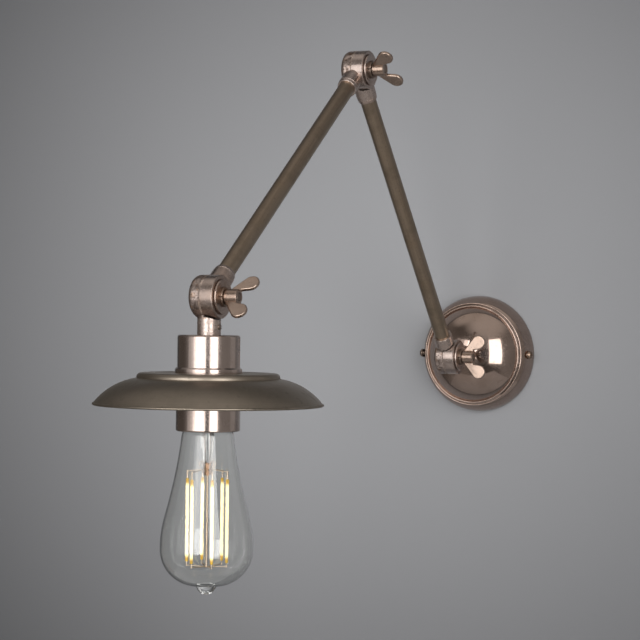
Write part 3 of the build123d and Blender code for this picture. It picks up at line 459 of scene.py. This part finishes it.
@dataclass(frozen=True)
class AgedMetal(Finish):
    """Plated and aged metal with brushed or turned grain."""

    name: str
    plate: Colour
    dark: Colour
    warm: Colour
    roughness: float
    roughness_spread: float = 0.1
    amount: float = 0.4
    blotch: float = 60.0
    grain: Grain = Grain.UPRIGHT
    fineness: float = 2600.0
    streak_tone: float = 0.12
    bump_strength: float = 0.12
    bump_depth: float = 0.00002
    # Brighter rim tone and its amount: partly rubbed wear, partly a painted highlight.
    worn_and_highlight: Colour = (0.72, 0.62, 0.55)
    wear_and_highlight: float = 0.35
    haze: float = 0.0
    haze_share: float = 0.35
    speckle_at: Vector | None = None
    speckle_reach: float = 0.0162
    speckle_fade: float = 0.0015
    speckle_beyond: float = 0.15

    def frame_of_grain(self) -> tuple[Vector, tuple[float, float, float]]:
        """Where the grain is measured from, and how its axis leans.

        Returns:
            The origin and the Euler angles that bring the axis onto Z.
        """
        if self.grain is Grain.LOWER_ARM:
            return LAYOUT.wall, (-LAYOUT.lean(LAYOUT.wall, LAYOUT.elbow), 0.0, 0.0)
        if self.grain is Grain.UPPER_ARM:
            return LAYOUT.head, (-LAYOUT.lean(LAYOUT.head, LAYOUT.elbow), 0.0, 0.0)
        if self.grain is Grain.TURNED_ON_LAMP_AXIS:
            return LAYOUT.head, (-LAYOUT.lean(Vector(), -LAYOUT.lamp_axis), 0.0, 0.0)
        if self.grain is Grain.TURNED_ON_WALL_AXIS:
            return ORIGIN, (math.pi / 2, 0.0, 0.0)
        return ORIGIN, UNTURNED

    def speckle_amount(self, tree: NodeTree) -> bpy.types.NodeSocket:
        """Patina amount that is full near one point and light beyond.

        Args:
            tree: The material's tree.

        Returns:
            The amount's socket.
        """
        away = tree.vector("LENGTH", self.placed(tree, self.speckle_at))
        near = tree.span(away, self.speckle_reach + self.speckle_fade, self.speckle_reach)
        return tree.maths("ADD", tree.maths("MULTIPLY", near, self.amount), self.speckle_beyond)

    def build(self) -> bpy.types.Material:
        """Makes the material.

        Returns:
            The finished material.
        """
        material, tree, shader = self.begin(self.name)
        centre, turn = self.frame_of_grain()
        coords = self.placed(tree, centre, turn)
        turned = self.grain in (Grain.TURNED_ON_LAMP_AXIS, Grain.TURNED_ON_WALL_AXIS)
        streaks = tree.add("Group", node_tree=GROUPS.rings if turned else GROUPS.grain)
        streaks.inputs["Fineness"].default_value = self.fineness
        patina = tree.add("Group", {"Plate": (*self.plate, 1.0), "Dark": (*self.dark, 1.0),
                                    "Warm": (*self.warm, 1.0), "Amount": self.amount, "Scale": self.blotch},
                          node_tree=GROUPS.patina)
        edges = tree.add("Group", node_tree=GROUPS.wear_and_highlight)
        for group in (streaks, patina, edges):
            tree.link(coords, group.inputs["Vector"])
        if self.speckle_at is not None:
            tree.link(self.speckle_amount(tree), patina.inputs["Amount"])
        toned = tree.mix(tree.maths("MULTIPLY", streaks.outputs["Streaks"], self.streak_tone),
                         patina.outputs["Colour"], self.dark)
        # Brighter rims: partly rubbed wear, partly a painted highlight.
        rubbed_and_highlit = tree.mix(tree.maths("MULTIPLY", edges.outputs["Mask"], self.wear_and_highlight), toned, self.worn_and_highlight)
        tree.link(rubbed_and_highlit, shader.inputs["Base Color"])
        shader.inputs["Metallic"].default_value = 1.0
        spread = tree.maths("MULTIPLY", patina.outputs["Mask"], self.roughness_spread)
        gloss = tree.maths("ADD", spread, self.roughness)
        if self.haze:
            rubs = tree.noise(coords, 5200.0, 1.0)
            hazy = tree.span(rubs, 0.66 - self.haze_share * 0.4, 0.7 - self.haze_share * 0.4)
            gloss = tree.maths("ADD", gloss, tree.maths("MULTIPLY", hazy, self.haze))
        tree.link(gloss, shader.inputs["Roughness"])
        self.bump(tree, shader, streaks.outputs["Height"], self.bump_strength, self.bump_depth)
        return material


@dataclass(frozen=True)
class Moulded(Finish):
    """Moulded or pressed matt material with a slight mottle."""

    name: str
    colour: Colour
    other: Colour
    roughness: float
    mottle: float = 250.0
    bump_depth: float = 0.00003

    def build(self) -> bpy.types.Material:
        """Makes the material.

        Returns:
            The finished material.
        """
        material, tree, shader = self.begin(self.name)
        noise = tree.noise(self.placed(tree), self.mottle, 4.0)
        tree.link(tree.mix(tree.span(noise, 0.35, 0.7), self.colour, self.other), shader.inputs["Base Color"])
        rough = tree.maths("ADD", tree.maths("MULTIPLY", noise, 0.15), self.roughness)
        tree.link(rough, shader.inputs["Roughness"])
        self.bump(tree, shader, noise, 0.3, self.bump_depth)
        return material


@dataclass(frozen=True)
class ClearGlass(Finish):
    """Clear lamp glass with faint drawn unevenness."""

    name: str
    tint: Colour
    roughness: float = 0.0
    wave: float = 0.05
    wave_depth: float = 0.0004
    pale: Colour = (0.99, 0.99, 0.985)
    ior: float = 1.47

    def build(self) -> bpy.types.Material:
        """Makes the material.

        Returns:
            The finished material.
        """
        material, tree, shader = self.begin(self.name)
        shader.inputs["Transmission Weight"].default_value = 1.0
        shader.inputs["IOR"].default_value = self.ior
        shader.inputs["Roughness"].default_value = self.roughness
        noise = tree.noise(self.placed(tree), 38.0, 1.0)
        tree.link(tree.mix(noise, self.tint, self.pale), shader.inputs["Base Color"])
        self.bump(tree, shader, noise, self.wave, self.wave_depth)
        return material


@dataclass(frozen=True)
class GlowRod(Finish):
    """Lit rod: bright along its length, with unlit yellow ends."""

    name: str
    lit: Colour
    end: Colour
    strength: float
    top: float
    bottom: float
    end_length: float = 0.004
    unlit_share: float = 0.25
    end_share: float = 0.16

    def build(self) -> bpy.types.Material:
        """Makes the material.

        Returns:
            The finished material.
        """
        material, tree, shader = self.begin(self.name)
        coords = self.placed(tree)
        level = tree.round_axis(coords)[1]
        above = tree.span(level, self.bottom + self.end_length * 0.5, self.bottom + self.end_length * 1.4)
        below = tree.span(level, self.top - self.end_length * 0.5, self.top - self.end_length * 1.4)
        lit = tree.maths("MULTIPLY", above, below)
        ripple = tree.maths("ADD", tree.maths("MULTIPLY", tree.noise(coords, 420.0, 1.0), 0.3), 0.8)
        dimmed = tree.maths("MULTIPLY", lit, ripple)
        unlit = tuple(part * self.unlit_share for part in self.lit)
        faint = tuple(part * self.end_share for part in self.end)
        tree.link(tree.mix(lit, self.end, unlit), shader.inputs["Base Color"])
        tree.link(tree.mix(dimmed, faint, self.lit), shader.inputs["Emission Color"])
        shader.inputs["Emission Strength"].default_value = self.strength
        shader.inputs["Roughness"].default_value = 0.5
        return material


@dataclass(frozen=True)
class CrownWire(Finish):
    """Bright wire whose crown in the middle is coppery."""

    name: str
    wire: Colour
    crown: Colour
    crown_radius: float
    crown_bottom: float
    speck: Colour = (0.12, 0.08, 0.055)
    fade: float = 0.001

    def build(self) -> bpy.types.Material:
        """Makes the material.

        Returns:
            The finished material.
        """
        material, tree, shader = self.begin(self.name)
        coords = self.placed(tree, LAYOUT.head, (-LAYOUT.lean(Vector(), -LAYOUT.lamp_axis), 0.0, 0.0))
        radius, level = tree.round_axis(coords)
        inside = tree.span(radius, self.crown_radius * 1.25, self.crown_radius)
        low = tree.span(level, -self.crown_bottom - self.fade, -self.crown_bottom)
        mask = tree.maths("MULTIPLY", inside, low)
        noise = tree.noise(coords, 1400.0, 3.0)
        speckled = tree.mix(tree.span(noise, 0.45, 0.6), self.crown, self.speck)
        tree.link(tree.mix(mask, self.wire, speckled), shader.inputs["Base Color"])
        shader.inputs["Metallic"].default_value = 1.0
        tree.link(tree.maths("ADD", tree.maths("MULTIPLY", mask, 0.15), 0.28), shader.inputs["Roughness"])
        self.bump(tree, shader, noise, 0.5, 0.0002)
        return material


FILAMENT_TOP = 0.1241
FILAMENT_LENGTH = 0.057
CROWN_TOP = 0.1131
CROWN_HEIGHT = 0.0085


class Finishes:
    """Every finish of the light, made once."""

    def __init__(self) -> None:
        """Builds the materials."""
        plate = srgb(181, 166, 158)
        dark = srgb(100, 84, 75)
        warm = srgb(178, 146, 122)
        self.joint = AgedMetal("aged_bronze_joint", plate, dark, warm, 0.17, 0.14, haze=0.22).build()
        pivots = {"wall": LAYOUT.wall, "elbow": LAYOUT.elbow, "head": LAYOUT.head}
        self.cast = {name: AgedMetal(f"aged_bronze_{name}_half", plate, srgb(70, 56, 48), warm, 0.2, 0.24,
                                     amount=0.8, blotch=480.0, haze=0.3, speckle_at=pivot).build()
                     for name, pivot in pivots.items()}
        self.cup = AgedMetal("aged_bronze_cup", plate, dark, warm, 0.13, 0.06, amount=0.16, bump_strength=0.1,
                             haze=0.1).build()
        self.lobes = AgedMetal("aged_bronze_wing_nut", srgb(176, 156, 142), dark, warm, 0.13, 0.14, haze=0.2).build()
        tube = dict(plate=srgb(154, 138, 121), dark=srgb(88, 76, 61), warm=srgb(150, 124, 90), roughness=0.34,
                    amount=0.3, streak_tone=0.3, bump_strength=0.2)
        self.lower_tube = AgedMetal("satin_bronze_lower_tube", grain=Grain.LOWER_ARM, **tube).build()
        self.upper_tube = AgedMetal("satin_bronze_upper_tube", grain=Grain.UPPER_ARM, **tube).build()
        self.shade = AgedMetal("dark_spun_shade", srgb(142, 132, 120), srgb(84, 79, 68), srgb(134, 119, 98),
                               0.36, 0.08, amount=0.35, blotch=18.0, grain=Grain.TURNED_ON_LAMP_AXIS,
                               bump_strength=0.08, wear_and_highlight=0.0, haze=0.1).build()
        self.rose = AgedMetal("polished_bronze_rose", srgb(168, 150, 140), srgb(104, 86, 74), srgb(160, 128, 104),
                              0.06, 0.05, amount=0.3, blotch=22.0, grain=Grain.TURNED_ON_WALL_AXIS,
                              streak_tone=0.08, bump_strength=0.05, haze=0.2, haze_share=0.25).build()
        self.dark_screw = AgedMetal("dark_plated_screw", srgb(140, 124, 112), srgb(62, 53, 47), warm, 0.3).build()
        self.zinc = AgedMetal("zinc_plate", srgb(186, 188, 186), srgb(120, 122, 122), srgb(196, 188, 160), 0.32,
                              amount=0.25, wear_and_highlight=0.1).build()
        self.brass = AgedMetal("bright_brass", srgb(214, 182, 112), srgb(140, 108, 58), srgb(220, 170, 90), 0.22,
                               amount=0.2, wear_and_highlight=0.1).build()
        self.cap = AgedMetal("lamp_cap_brass", srgb(214, 200, 160), srgb(140, 120, 82), srgb(220, 190, 130), 0.2,
                             amount=0.15, wear_and_highlight=0.1).build()
        self.solder = AgedMetal("dull_solder", srgb(182, 182, 184), srgb(110, 110, 114), srgb(170, 168, 160), 0.45,
                                amount=0.5, wear_and_highlight=0.0).build()
        self.fibre = Moulded("pressed_fibre", srgb(52, 46, 40), srgb(34, 30, 27), 0.75).build()
        self.insulator = Moulded("dark_moulding", srgb(38, 34, 31), srgb(26, 24, 22), 0.45).build()
        self.terminal = Moulded("white_moulding", srgb(232, 230, 222), srgb(220, 216, 206), 0.4).build()
        self.vitrite = Moulded("black_vitrite", srgb(24, 24, 28), srgb(14, 14, 18), 0.12).build()
        self.glass = ClearGlass("clear_lamp_glass", srgb(252, 254, 252)).build()
        self.stem_glass = ClearGlass("stem_glass", srgb(254, 246, 242), 0.02, 0.2).build()
        self.glow = GlowRod("lit_rod", (1.0, 0.84, 0.48), srgb(214, 172, 60), 1.65,
                            LAYOUT.down_lamp(FILAMENT_TOP).z,
                            LAYOUT.down_lamp(FILAMENT_TOP + FILAMENT_LENGTH).z).build()
        self.crown_wire = CrownWire("crown_and_wires", srgb(196, 178, 160), srgb(190, 152, 124), 0.0031,
                                    CROWN_TOP + CROWN_HEIGHT).build()


def add_mesh(name: str, mesh: bmesh.types.BMesh, material: bpy.types.Material, body: str,
             smooth: bool = True) -> bpy.types.Object:
    """Turns a bmesh into a piece that rides on a body.

    Args:
        name: The piece's name.
        mesh: Its geometry, in the row frame.
        material: Its finish.
        body: The body it moves with.
        smooth: Whether its faces are shaded smooth.

    Returns:
        The new object.
    """
    bmesh.ops.recalc_face_normals(mesh, faces=mesh.faces)
    data = bpy.data.meshes.new(name)
    mesh.to_mesh(data)
    mesh.free()
    for polygon in data.polygons:
        polygon.use_smooth = smooth
    data.materials.append(material)
    piece = bpy.data.objects.new(name, data)
    bpy.context.scene.collection.objects.link(piece)
    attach(piece, body)
    LOG.info("piece %s: %d faces", name, len(data.polygons))
    return piece


def tube_along(points: list[Vector], radius: float, sides: int = 8) -> bmesh.types.BMesh:
    """Round wire along a line of points.

    Args:
        points: The line, in the row frame.
        radius: The wire's radius.
        sides: How many sides its section has.

    Returns:
        The wire's geometry.
    """
    mesh = bmesh.new()
    rings = []
    side = Vector((1.0, 0.0, 0.0))
    for number, point in enumerate(points):
        before = points[max(number - 1, 0)]
        after = points[min(number + 1, len(points) - 1)]
        run = (after - before).normalized()
        side = side - run * side.dot(run)
        side = side.normalized() if side.length > 1e-6 else run.orthogonal().normalized()
        across = run.cross(side)
        ring = []
        for turn in range(sides):
            angle = 2 * math.pi * turn / sides
            ring.append(mesh.verts.new(point + (side * math.cos(angle) + across * math.sin(angle)) * radius))
        rings.append(ring)
    for first, second in zip(rings, rings[1:]):
        for turn in range(sides):
            following = (turn + 1) % sides
            mesh.faces.new((first[turn], first[following], second[following], second[turn]))
    mesh.faces.new(reversed(rings[0]))
    mesh.faces.new(rings[-1])
    return mesh


class SubAssembly:
    """A group of solids that is dressed together, with the fine pieces made for it."""

    def finishes_by_node(self, finishes: Finishes) -> dict[str, bpy.types.Material]:
        """Which finish each of its solids gets.

        Args:
            finishes: The light's finishes.

        Returns:
            Materials by node name.
        """
        raise NotImplementedError

    def dress(self, finishes: Finishes) -> set[str]:
        """Puts its finishes on its solids.

        Args:
            finishes: The light's finishes.

        Returns:
            The names of the solids that it dressed.
        """
        chosen = self.finishes_by_node(finishes)
        for name, material in chosen.items():
            materials = frame["nodes"][name].data.materials
            materials.clear()
            materials.append(material)
        LOG.info("%s: %d solids dressed", type(self).__name__, len(chosen))
        return set(chosen)

    def add_detail(self, finishes: Finishes) -> None:
        """Adds its fine pieces, if it has any.

        Args:
            finishes: The light's finishes.
        """


@dataclass
class WallRose(SubAssembly):
    """Domed rose with what is behind it, and the fixed half of the wall knuckle."""

    def finishes_by_node(self, finishes: Finishes) -> dict[str, bpy.types.Material]:
        """Finishes of the rose's solids."""
        return {
            "rose_dome": finishes.rose, "wall_stem_collar": finishes.joint, "rose_screws": finishes.dark_screw,
            "wall_knuckle_base": finishes.joint, "wall_bracket": finishes.zinc, "stem_washer": finishes.zinc,
            "stem_nut": finishes.zinc, "terminal_block": finishes.terminal, "terminal_screws": finishes.brass,
            "earth_screw": finishes.brass,
        }


@dataclass
class FoldingArm(SubAssembly):
    """One tube arm with its knuckle halves and ferrules."""

    name: str
    knuckles: tuple[str, ...]
    cast_halves: dict[str, str]
    ferrules: tuple[str, ...]

    def finishes_by_node(self, finishes: Finishes) -> dict[str, bpy.types.Material]:
        """Finishes of the arm's solids."""
        chosen = {name: finishes.joint for name in self.knuckles + self.ferrules}
        chosen.update({node: finishes.cast[joint] for node, joint in self.cast_halves.items()})
        chosen[f"{self.name}_tube"] = finishes.lower_tube if self.name == "lower_arm" else finishes.upper_tube
        return chosen


@dataclass
class KnuckleClamp(SubAssembly):
    """Screw, washers, friction disc and wing nut of one knuckle, with the toothed seam between its halves."""

    name: str
    pivot: Vector
    toothed_body: str
    drum_radius: float = 0.01492
    tooth_height: float = 0.00034
    rows: int = 2
    teeth: int = 84
    row_width: float = 0.00075
    first_row: float = -0.0009

    def finishes_by_node(self, finishes: Finishes) -> dict[str, bpy.types.Material]:
        """Finishes of the clamp's solids."""
        return {
            f"{self.name}_thrust_washer": finishes.joint, f"{self.name}_spring_washer": finishes.dark_screw,
            f"{self.name}_pivot_screw": finishes.dark_screw, f"{self.name}_wing_nut": finishes.lobes,
            f"{self.name}_friction_disc": finishes.fibre,
        }

    def on_drum(self, along: float, angle: float, height: float) -> Vector:
        """Point on the knuckle's drum.

        Args:
            along: Distance from the seam along the pivot.
            angle: Direction round the pivot.
            height: Height above the drum's skin.

        Returns:
            The point, in metres.
        """
        reach = self.drum_radius + height
        return self.pivot + Vector((along, reach * math.cos(angle), reach * math.sin(angle)))

    def add_detail(self, finishes: Finishes) -> None:
        """Adds the toothed seam."""
        mesh = bmesh.new()
        step = 2 * math.pi / self.teeth
        half_row, half_step = self.row_width / 2, step / 2
        for row in range(self.rows):
            middle = self.first_row + self.row_width * (row + 0.5)
            for number in range(self.teeth):
                angle = step * (number + 0.5 * (row % 2))
                rim = [mesh.verts.new(self.on_drum(middle + along, angle + turn, 0.0))
                       for along, turn in ((-half_row, 0), (0, -half_step), (half_row, 0), (0, half_step))]
                tip = mesh.verts.new(self.on_drum(middle, angle, self.tooth_height))
                for place in range(4):
                    mesh.faces.new((rim[place], rim[(place + 1) % 4], tip))
                mesh.faces.new(reversed(rim))
        add_mesh(f"{self.name}_toothed_seam", mesh, finishes.dark_screw, self.toothed_body,
                 smooth=False)


@dataclass
class LampHead(SubAssembly):
    """Head knuckle, holder and shade."""

    def finishes_by_node(self, finishes: Finishes) -> dict[str, bpy.types.Material]:
        """Finishes of the head's solids."""
        chosen = {name: finishes.cup for name in ("holder_cup", "shade_flange", "shade_ring")}
        chosen.update({name: finishes.zinc for name in ("nipple_nut", "holder_nipple", "holder_bridge",
                                                        "holder_screws")})
        chosen.update({name: finishes.brass for name in ("holder_terminals", "screw_shell", "centre_contact")})
        chosen.update({"head_knuckle": finishes.cast["head"], "neck_grub_screw": finishes.dark_screw,
                       "shade": finishes.shade, "holder_insulator": finishes.insulator})
        return chosen


@dataclass
class FilamentLamp(SubAssembly):
    """Pear-shaped lamp and the fine wires that its solids leave out."""

    wire_radius: float = 0.00018
    loop_radius: float = 0.0003
    loops: int = 6
    crown_top: float = CROWN_TOP
    crown_height: float = CROWN_HEIGHT
    first_pin: float = -12.3
    lead_line: tuple[tuple[float, float], ...] = ((0.0016, 0.0888), (0.0014, 0.1003), (0.0011, 0.1128))
    loop_start: float = 0.0026
    loop_reach: float = 0.0016
    loop_below_top: float = 0.0012
    loop_rise: float = 0.0022
    loop_steps: int = 12
    loop_tail: tuple[tuple[float, float, float], ...] = ((0.0040, 6.0, 0.55), (0.0027, 9.0, 0.92))

    def finishes_by_node(self, finishes: Finishes) -> dict[str, bpy.types.Material]:
        """Finishes of the lamp's solids."""
        return {
            "bulb_contact": finishes.solder, "bulb_cap": finishes.cap, "bulb_insulator": finishes.vitrite,
            "bulb_glass": finishes.glass, "bulb_stem": finishes.stem_glass, "bulb_supports": finishes.crown_wire,
            "bulb_filaments": finishes.glow,
        }

    def at(self, radius: float, angle: float, depth: float) -> Vector:
        """Point inside the lamp.

        Args:
            radius: Distance from the lamp's axis.
            angle: Direction round the axis, in degrees.
            depth: Level below the head pivot.

        Returns:
            The point, in metres.
        """
        turn = math.radians(angle)
        sideways = Vector((1.0, 0.0, 0.0))
        forward = LAYOUT.lamp_axis.cross(sideways).normalized()
        return LAYOUT.down_lamp(depth) + (sideways * math.cos(turn) + forward * math.sin(turn)) * radius

    def add_detail(self, finishes: Finishes) -> None:
        """Adds the lead wires and the crown's loops."""
        for name, side in (("lead_wire_left", 180.0), ("lead_wire_right", 0.0)):
            line = [self.at(radius, side, depth) for radius, depth in self.lead_line]
            add_mesh(name, tube_along(line, self.wire_radius), finishes.crown_wire, "bulb")
        for number in range(self.loops):
            angle = self.first_pin + 360.0 / self.loops * (number + 0.5)
            line = []
            for step in range(self.loop_steps + 1):
                turn = math.pi * step / self.loop_steps
                line.append(self.at(self.loop_start + self.loop_reach * (1 - math.cos(turn)), angle,
                                    self.crown_top + self.loop_below_top - self.loop_rise * math.sin(turn)))
            for radius, further, share in self.loop_tail:
                line.append(self.at(radius, angle + further, self.crown_top + self.crown_height * share))
            add_mesh(f"crown_loop_{number + 1}", tube_along(line, self.loop_radius), finishes.crown_wire, "bulb")


@dataclass
class StudioStage:
    """Wall behind the light and floor far below it."""

    # Tone at the middle of the painted pool of light on the wall.
    wall_tone: float = 0.322
    # Dark tone at the wall's outer parts: painted shade where the painted pool of light fades out.
    painted_falloff_tone: float = 0.03
    # Centre and reach of the painted pool of light on the wall.
    centre: tuple[float, float] = (-0.106, 0.047)
    reach: tuple[float, float] = (0.499, 0.445)
    tint: Colour = (0.975, 0.996, 1.04)
    size: float = 2.2
    floor_size: float = 2.4
    side_tone: float = 0.36
    side_start: float = 0.3
    side_width: float = 0.2
    box_hole: float = 0.05
    behind: float = 0.0006
    floor_level: float = -1.1
    floor_tone: float = 0.6

    def wall_material(self) -> bpy.types.Material:
        """Grey paint with a painted pool of light that fades to painted shade outwards, and see-through from behind
        and in a small hole behind the rose.

        Returns:
            The wall's material.
        """
        material = bpy.data.materials.new("studio_wall")
        material.use_nodes = True
        tree = NodeTree(material.node_tree)
        coords = tree.add("TexCoord")
        shift = tree.vector("SUBTRACT", coords.outputs["Object"], (self.centre[0], 0.0, self.centre[1]))
        squeeze = tree.vector("MULTIPLY", shift, (1 / self.reach[0], 0.0, 1 / self.reach[1]))
        spread = tree.vector("DOT_PRODUCT", squeeze, squeeze)
        # Painted light: a bright pool on the wall that fades outwards to the painted shade of painted_falloff_tone.
        glow = tree.maths("POWER", math.e, tree.maths("MULTIPLY", spread, -1.0))
        tone = tree.mix(glow, tuple(self.painted_falloff_tone * part for part in self.tint),
                        tuple(self.wall_tone * part for part in self.tint))
        place = tree.add("SeparateXYZ")
        tree.link(coords.outputs["Object"], place.inputs[0])
        side = tree.span(place.outputs["X"], self.side_start, self.side_start + self.side_width)
        paler = tree.mix(side, tone, (self.side_tone,) * 3)
        paint = tree.add("BsdfDiffuse")
        tree.link(paler, paint.inputs["Color"])
        clear = tree.add("BsdfTransparent")
        behind = tree.add("NewGeometry")
        box_hole = tree.maths("LESS_THAN", tree.vector("LENGTH", coords.outputs["Object"]), self.box_hole)
        either = tree.add("MixShader")
        tree.link(tree.maths("MAXIMUM", behind.outputs["Backfacing"], box_hole), either.inputs[0])
        tree.link(paint.outputs[0], either.inputs[1])
        tree.link(clear.outputs[0], either.inputs[2])
        out = tree.add("OutputMaterial")
        tree.link(either.outputs[0], out.inputs["Surface"])
        return material

    def sheet(self, name: str, corners: list[tuple[float, float, float]], material: bpy.types.Material) -> None:
        """Adds a flat stage sheet.

        Args:
            name: Its name.
            corners: Its four corners, in order.
            material: Its material.
        """
        data = bpy.data.meshes.new(name)
        data.from_pydata(corners, [], [(0, 1, 2, 3)])
        data.materials.append(material)
        piece = bpy.data.objects.new(name, data)
        bpy.context.scene.collection.objects.link(piece)

    def build(self) -> None:
        """Makes the wall and the floor."""
        half, low, top, back = self.size / 2, self.floor_level, self.size / 2, self.behind
        self.sheet("studio_wall", [(-half, back, low), (half, back, low), (half, back, top), (-half, back, top)],
                   self.wall_material())
        floor = bpy.data.materials.new("studio_floor")
        floor.use_nodes = True
        tree = NodeTree(floor.node_tree)
        paint = tree.add("BsdfDiffuse", {"Color": (self.floor_tone, self.floor_tone, self.floor_tone, 1.0)})
        out = tree.add("OutputMaterial")
        tree.link(paint.outputs[0], out.inputs["Surface"])
        half = self.floor_size / 2
        self.sheet("studio_floor", [(-half, -half, low), (half, -half, low), (half, half, low), (-half, half, low)],
                   floor)
        LOG.info("stage built")


@dataclass(frozen=True)
class RoomPatch:
    """Lighter or darker part of the room, as a soft round patch of the surroundings."""

    across: float
    up: float
    inner: float
    outer: float
    tone: Colour


@dataclass(frozen=True)
class StudioRoom:
    """Dim warm-grey room around the light, seen in its gloss."""

    base: Colour = (0.285, 0.272, 0.262)
    backdrop: Colour = (0.33, 0.33, 0.335)
    patches: tuple[RoomPatch, ...] = (
        RoomPatch(-120.0, 0.0, 15.0, 50.0, (0.11, 0.10, 0.09)),
        RoomPatch(-62.0, 52.0, 12.0, 40.0, (0.13, 0.12, 0.11)),
        RoomPatch(0.0, -40.0, 12.0, 36.0, (0.06, 0.055, 0.05)),
        RoomPatch(8.0, 66.0, 12.0, 44.0, (0.66, 0.63, 0.60)),
        RoomPatch(-104.0, 63.0, 6.0, 24.0, (0.62, 0.59, 0.56)),
        RoomPatch(-1.0, 0.0, 8.0, 16.0, (0.05, 0.05, 0.055)),
    )

    def build(self, eye: "Eye") -> None:
        """Makes the world.

        Args:
            eye: The camera's place and directions, which the patches are counted from.
        """
        world = bpy.data.worlds.new("studio_room")
        world.use_nodes = True
        bpy.context.scene.world = world
        tree = NodeTree(world.node_tree)
        coords = tree.add("TexCoord")
        seen = tree.mix(0.0, self.base, self.base)
        front = math.atan2(eye.back.y, eye.back.x)
        for patch in self.patches:
            heading, rise = front + math.radians(patch.across), math.radians(patch.up)
            towards = Vector((math.cos(heading) * math.cos(rise), math.sin(heading) * math.cos(rise), math.sin(rise)))
            near = tree.vector("DOT_PRODUCT", coords.outputs["Generated"], towards)
            mask = tree.span(near, math.cos(math.radians(patch.outer)), math.cos(math.radians(patch.inner)))
            seen = tree.mix(mask, seen, patch.tone)
        path = tree.add("LightPath")
        shown = tree.mix(path.outputs["Is Camera Ray"], seen, self.backdrop)
        shine = tree.add("Background")
        tree.link(shown, shine.inputs["Color"])
        out = tree.add("OutputWorld")
        tree.link(shine.outputs[0], out.inputs["Surface"])
        LOG.info("room built")


@dataclass(frozen=True)
class Softbox:
    """Large flat lamp beside the camera, between two directions counted in degrees from the camera's own."""

    name: str
    start: float
    end: float
    radiance: float
    distance: float = 2.0
    elevation: tuple[float, float] = (-12.0, 31.0)
    tint: Colour = (1.0, 0.99, 0.985)

    def build(self, eye: "Eye") -> None:
        """Makes the lamp.

        Args:
            eye: The camera's place and directions.
        """
        heading = math.radians((self.start + self.end) / 2)
        width = 2 * self.distance * math.tan(math.radians((self.end - self.start) / 2))
        low, high = (self.distance * math.tan(math.radians(angle)) for angle in self.elevation)
        tall = high - low
        data = bpy.data.lights.new(self.name, "AREA")
        data.shape = "RECTANGLE"
        data.size, data.size_y = width, tall
        data.energy = self.radiance * math.pi * width * tall
        data.color = self.tint
        lamp = bpy.data.objects.new(self.name, data)
        bpy.context.scene.collection.objects.link(lamp)
        towards = eye.right * math.sin(heading) + Vector((eye.back.x, eye.back.y, 0.0)) * math.cos(heading)
        lamp.location = eye.target + towards * self.distance
        lamp.location.z = eye.target.z + (low + high) / 2
        lamp.rotation_mode = "QUATERNION"
        lamp.rotation_quaternion = (-towards).to_track_quat("-Z", "Y")
        lamp.visible_camera = False


SOFTBOXES = (
    Softbox("softbox_right", 8.0, 36.0, 4.5, 9.0, (-20.0, 31.0)),
    Softbox("softbox_left", -43.5, -10.5, 4.5),
    Softbox("softbox_spill_inner", -54.0, -43.5, 2.5),
    Softbox("softbox_spill_middle", -64.0, -54.0, 0.8),
    Softbox("softbox_spill_outer", -76.0, -64.0, 0.45),
)


@dataclass(frozen=True)
class Eye:
    """The camera, where the photographer's stood."""

    azimuth: float = math.radians(25.689)
    elevation: float = math.radians(1.525)
    focal_pixels: float = 2071.5
    frame_pixels: float = 640.0
    origin_pixel: tuple[float, float] = (479.5, 353.44)
    origin_depth: float = 1.87025
    head_depth: float = 1.412
    sensor: float = 36.0
    clip: tuple[float, float] = (0.05, 30.0)

    @property
    def back(self) -> Vector:
        """Direction from the subject to the camera."""
        flat = math.cos(self.elevation)
        return Vector((math.sin(self.azimuth) * flat, -math.cos(self.azimuth) * flat, math.sin(self.elevation)))

    @property
    def right(self) -> Vector:
        """Direction to the picture's right."""
        return Vector((math.cos(self.azimuth), math.sin(self.azimuth), 0.0))

    @property
    def place(self) -> Vector:
        """Where the camera stands."""
        middle = self.frame_pixels / 2
        across = (self.origin_pixel[0] - middle) / self.focal_pixels * self.origin_depth
        down = (self.origin_pixel[1] - middle) / self.focal_pixels * self.origin_depth
        up = self.back.cross(self.right)
        return -self.right * across + up * down + self.back * self.origin_depth

    @property
    def target(self) -> Vector:
        """Point on the camera's axis beside the lamp head."""
        return self.place - self.back * self.head_depth

    def build(self) -> None:
        """Makes the camera and sets it as the scene's."""
        data = bpy.data.cameras.new("camera")
        data.sensor_width = self.sensor
        data.lens = self.focal_pixels / self.frame_pixels * self.sensor
        data.clip_start, data.clip_end = self.clip
        camera = bpy.data.objects.new("camera", data)
        bpy.context.scene.collection.objects.link(camera)
        camera.location = self.place
        camera.rotation_mode = "QUATERNION"
        camera.rotation_quaternion = (-self.back).to_track_quat("-Z", "Y")
        bpy.context.scene.camera = camera
        LOG.info("camera set")


def main() -> None:
    """Builds everything in order."""
    logging.basicConfig(level=logging.INFO, format="%(message)s")
    bpy.context.scene.view_settings.view_transform = "Standard"
    eye = Eye()
    eye.build()
    StudioStage().build()
    StudioRoom().build(eye)
    for softbox in SOFTBOXES:
        softbox.build(eye)
    finishes = Finishes()
    light: list[SubAssembly] = [
        WallRose(),
        FoldingArm("lower_arm", (), {"lower_arm_wall_knuckle": "wall", "lower_arm_elbow_knuckle": "elbow"},
                   ("lower_arm_ferrule",)),
        FoldingArm("upper_arm", ("upper_arm_elbow_knuckle", "upper_arm_head_knuckle"), {},
                   ("upper_arm_elbow_ferrule", "upper_arm_head_ferrule")),
        KnuckleClamp("wall", LAYOUT.wall, "lower_arm"),
        KnuckleClamp("elbow", LAYOUT.elbow, "lower_arm"),
        KnuckleClamp("head", LAYOUT.head, "lamp_head"),
        LampHead(),
        FilamentLamp(),
    ]
    dressed: set[str] = set()
    for part in light:
        dressed |= part.dress(finishes)
        part.add_detail(finishes)
    bare = set(frame["nodes"]) - dressed
    if bare:
        raise RuntimeError(f"solids with no finish: {sorted(bare)}")


if __name__ == "__main__":
    main()
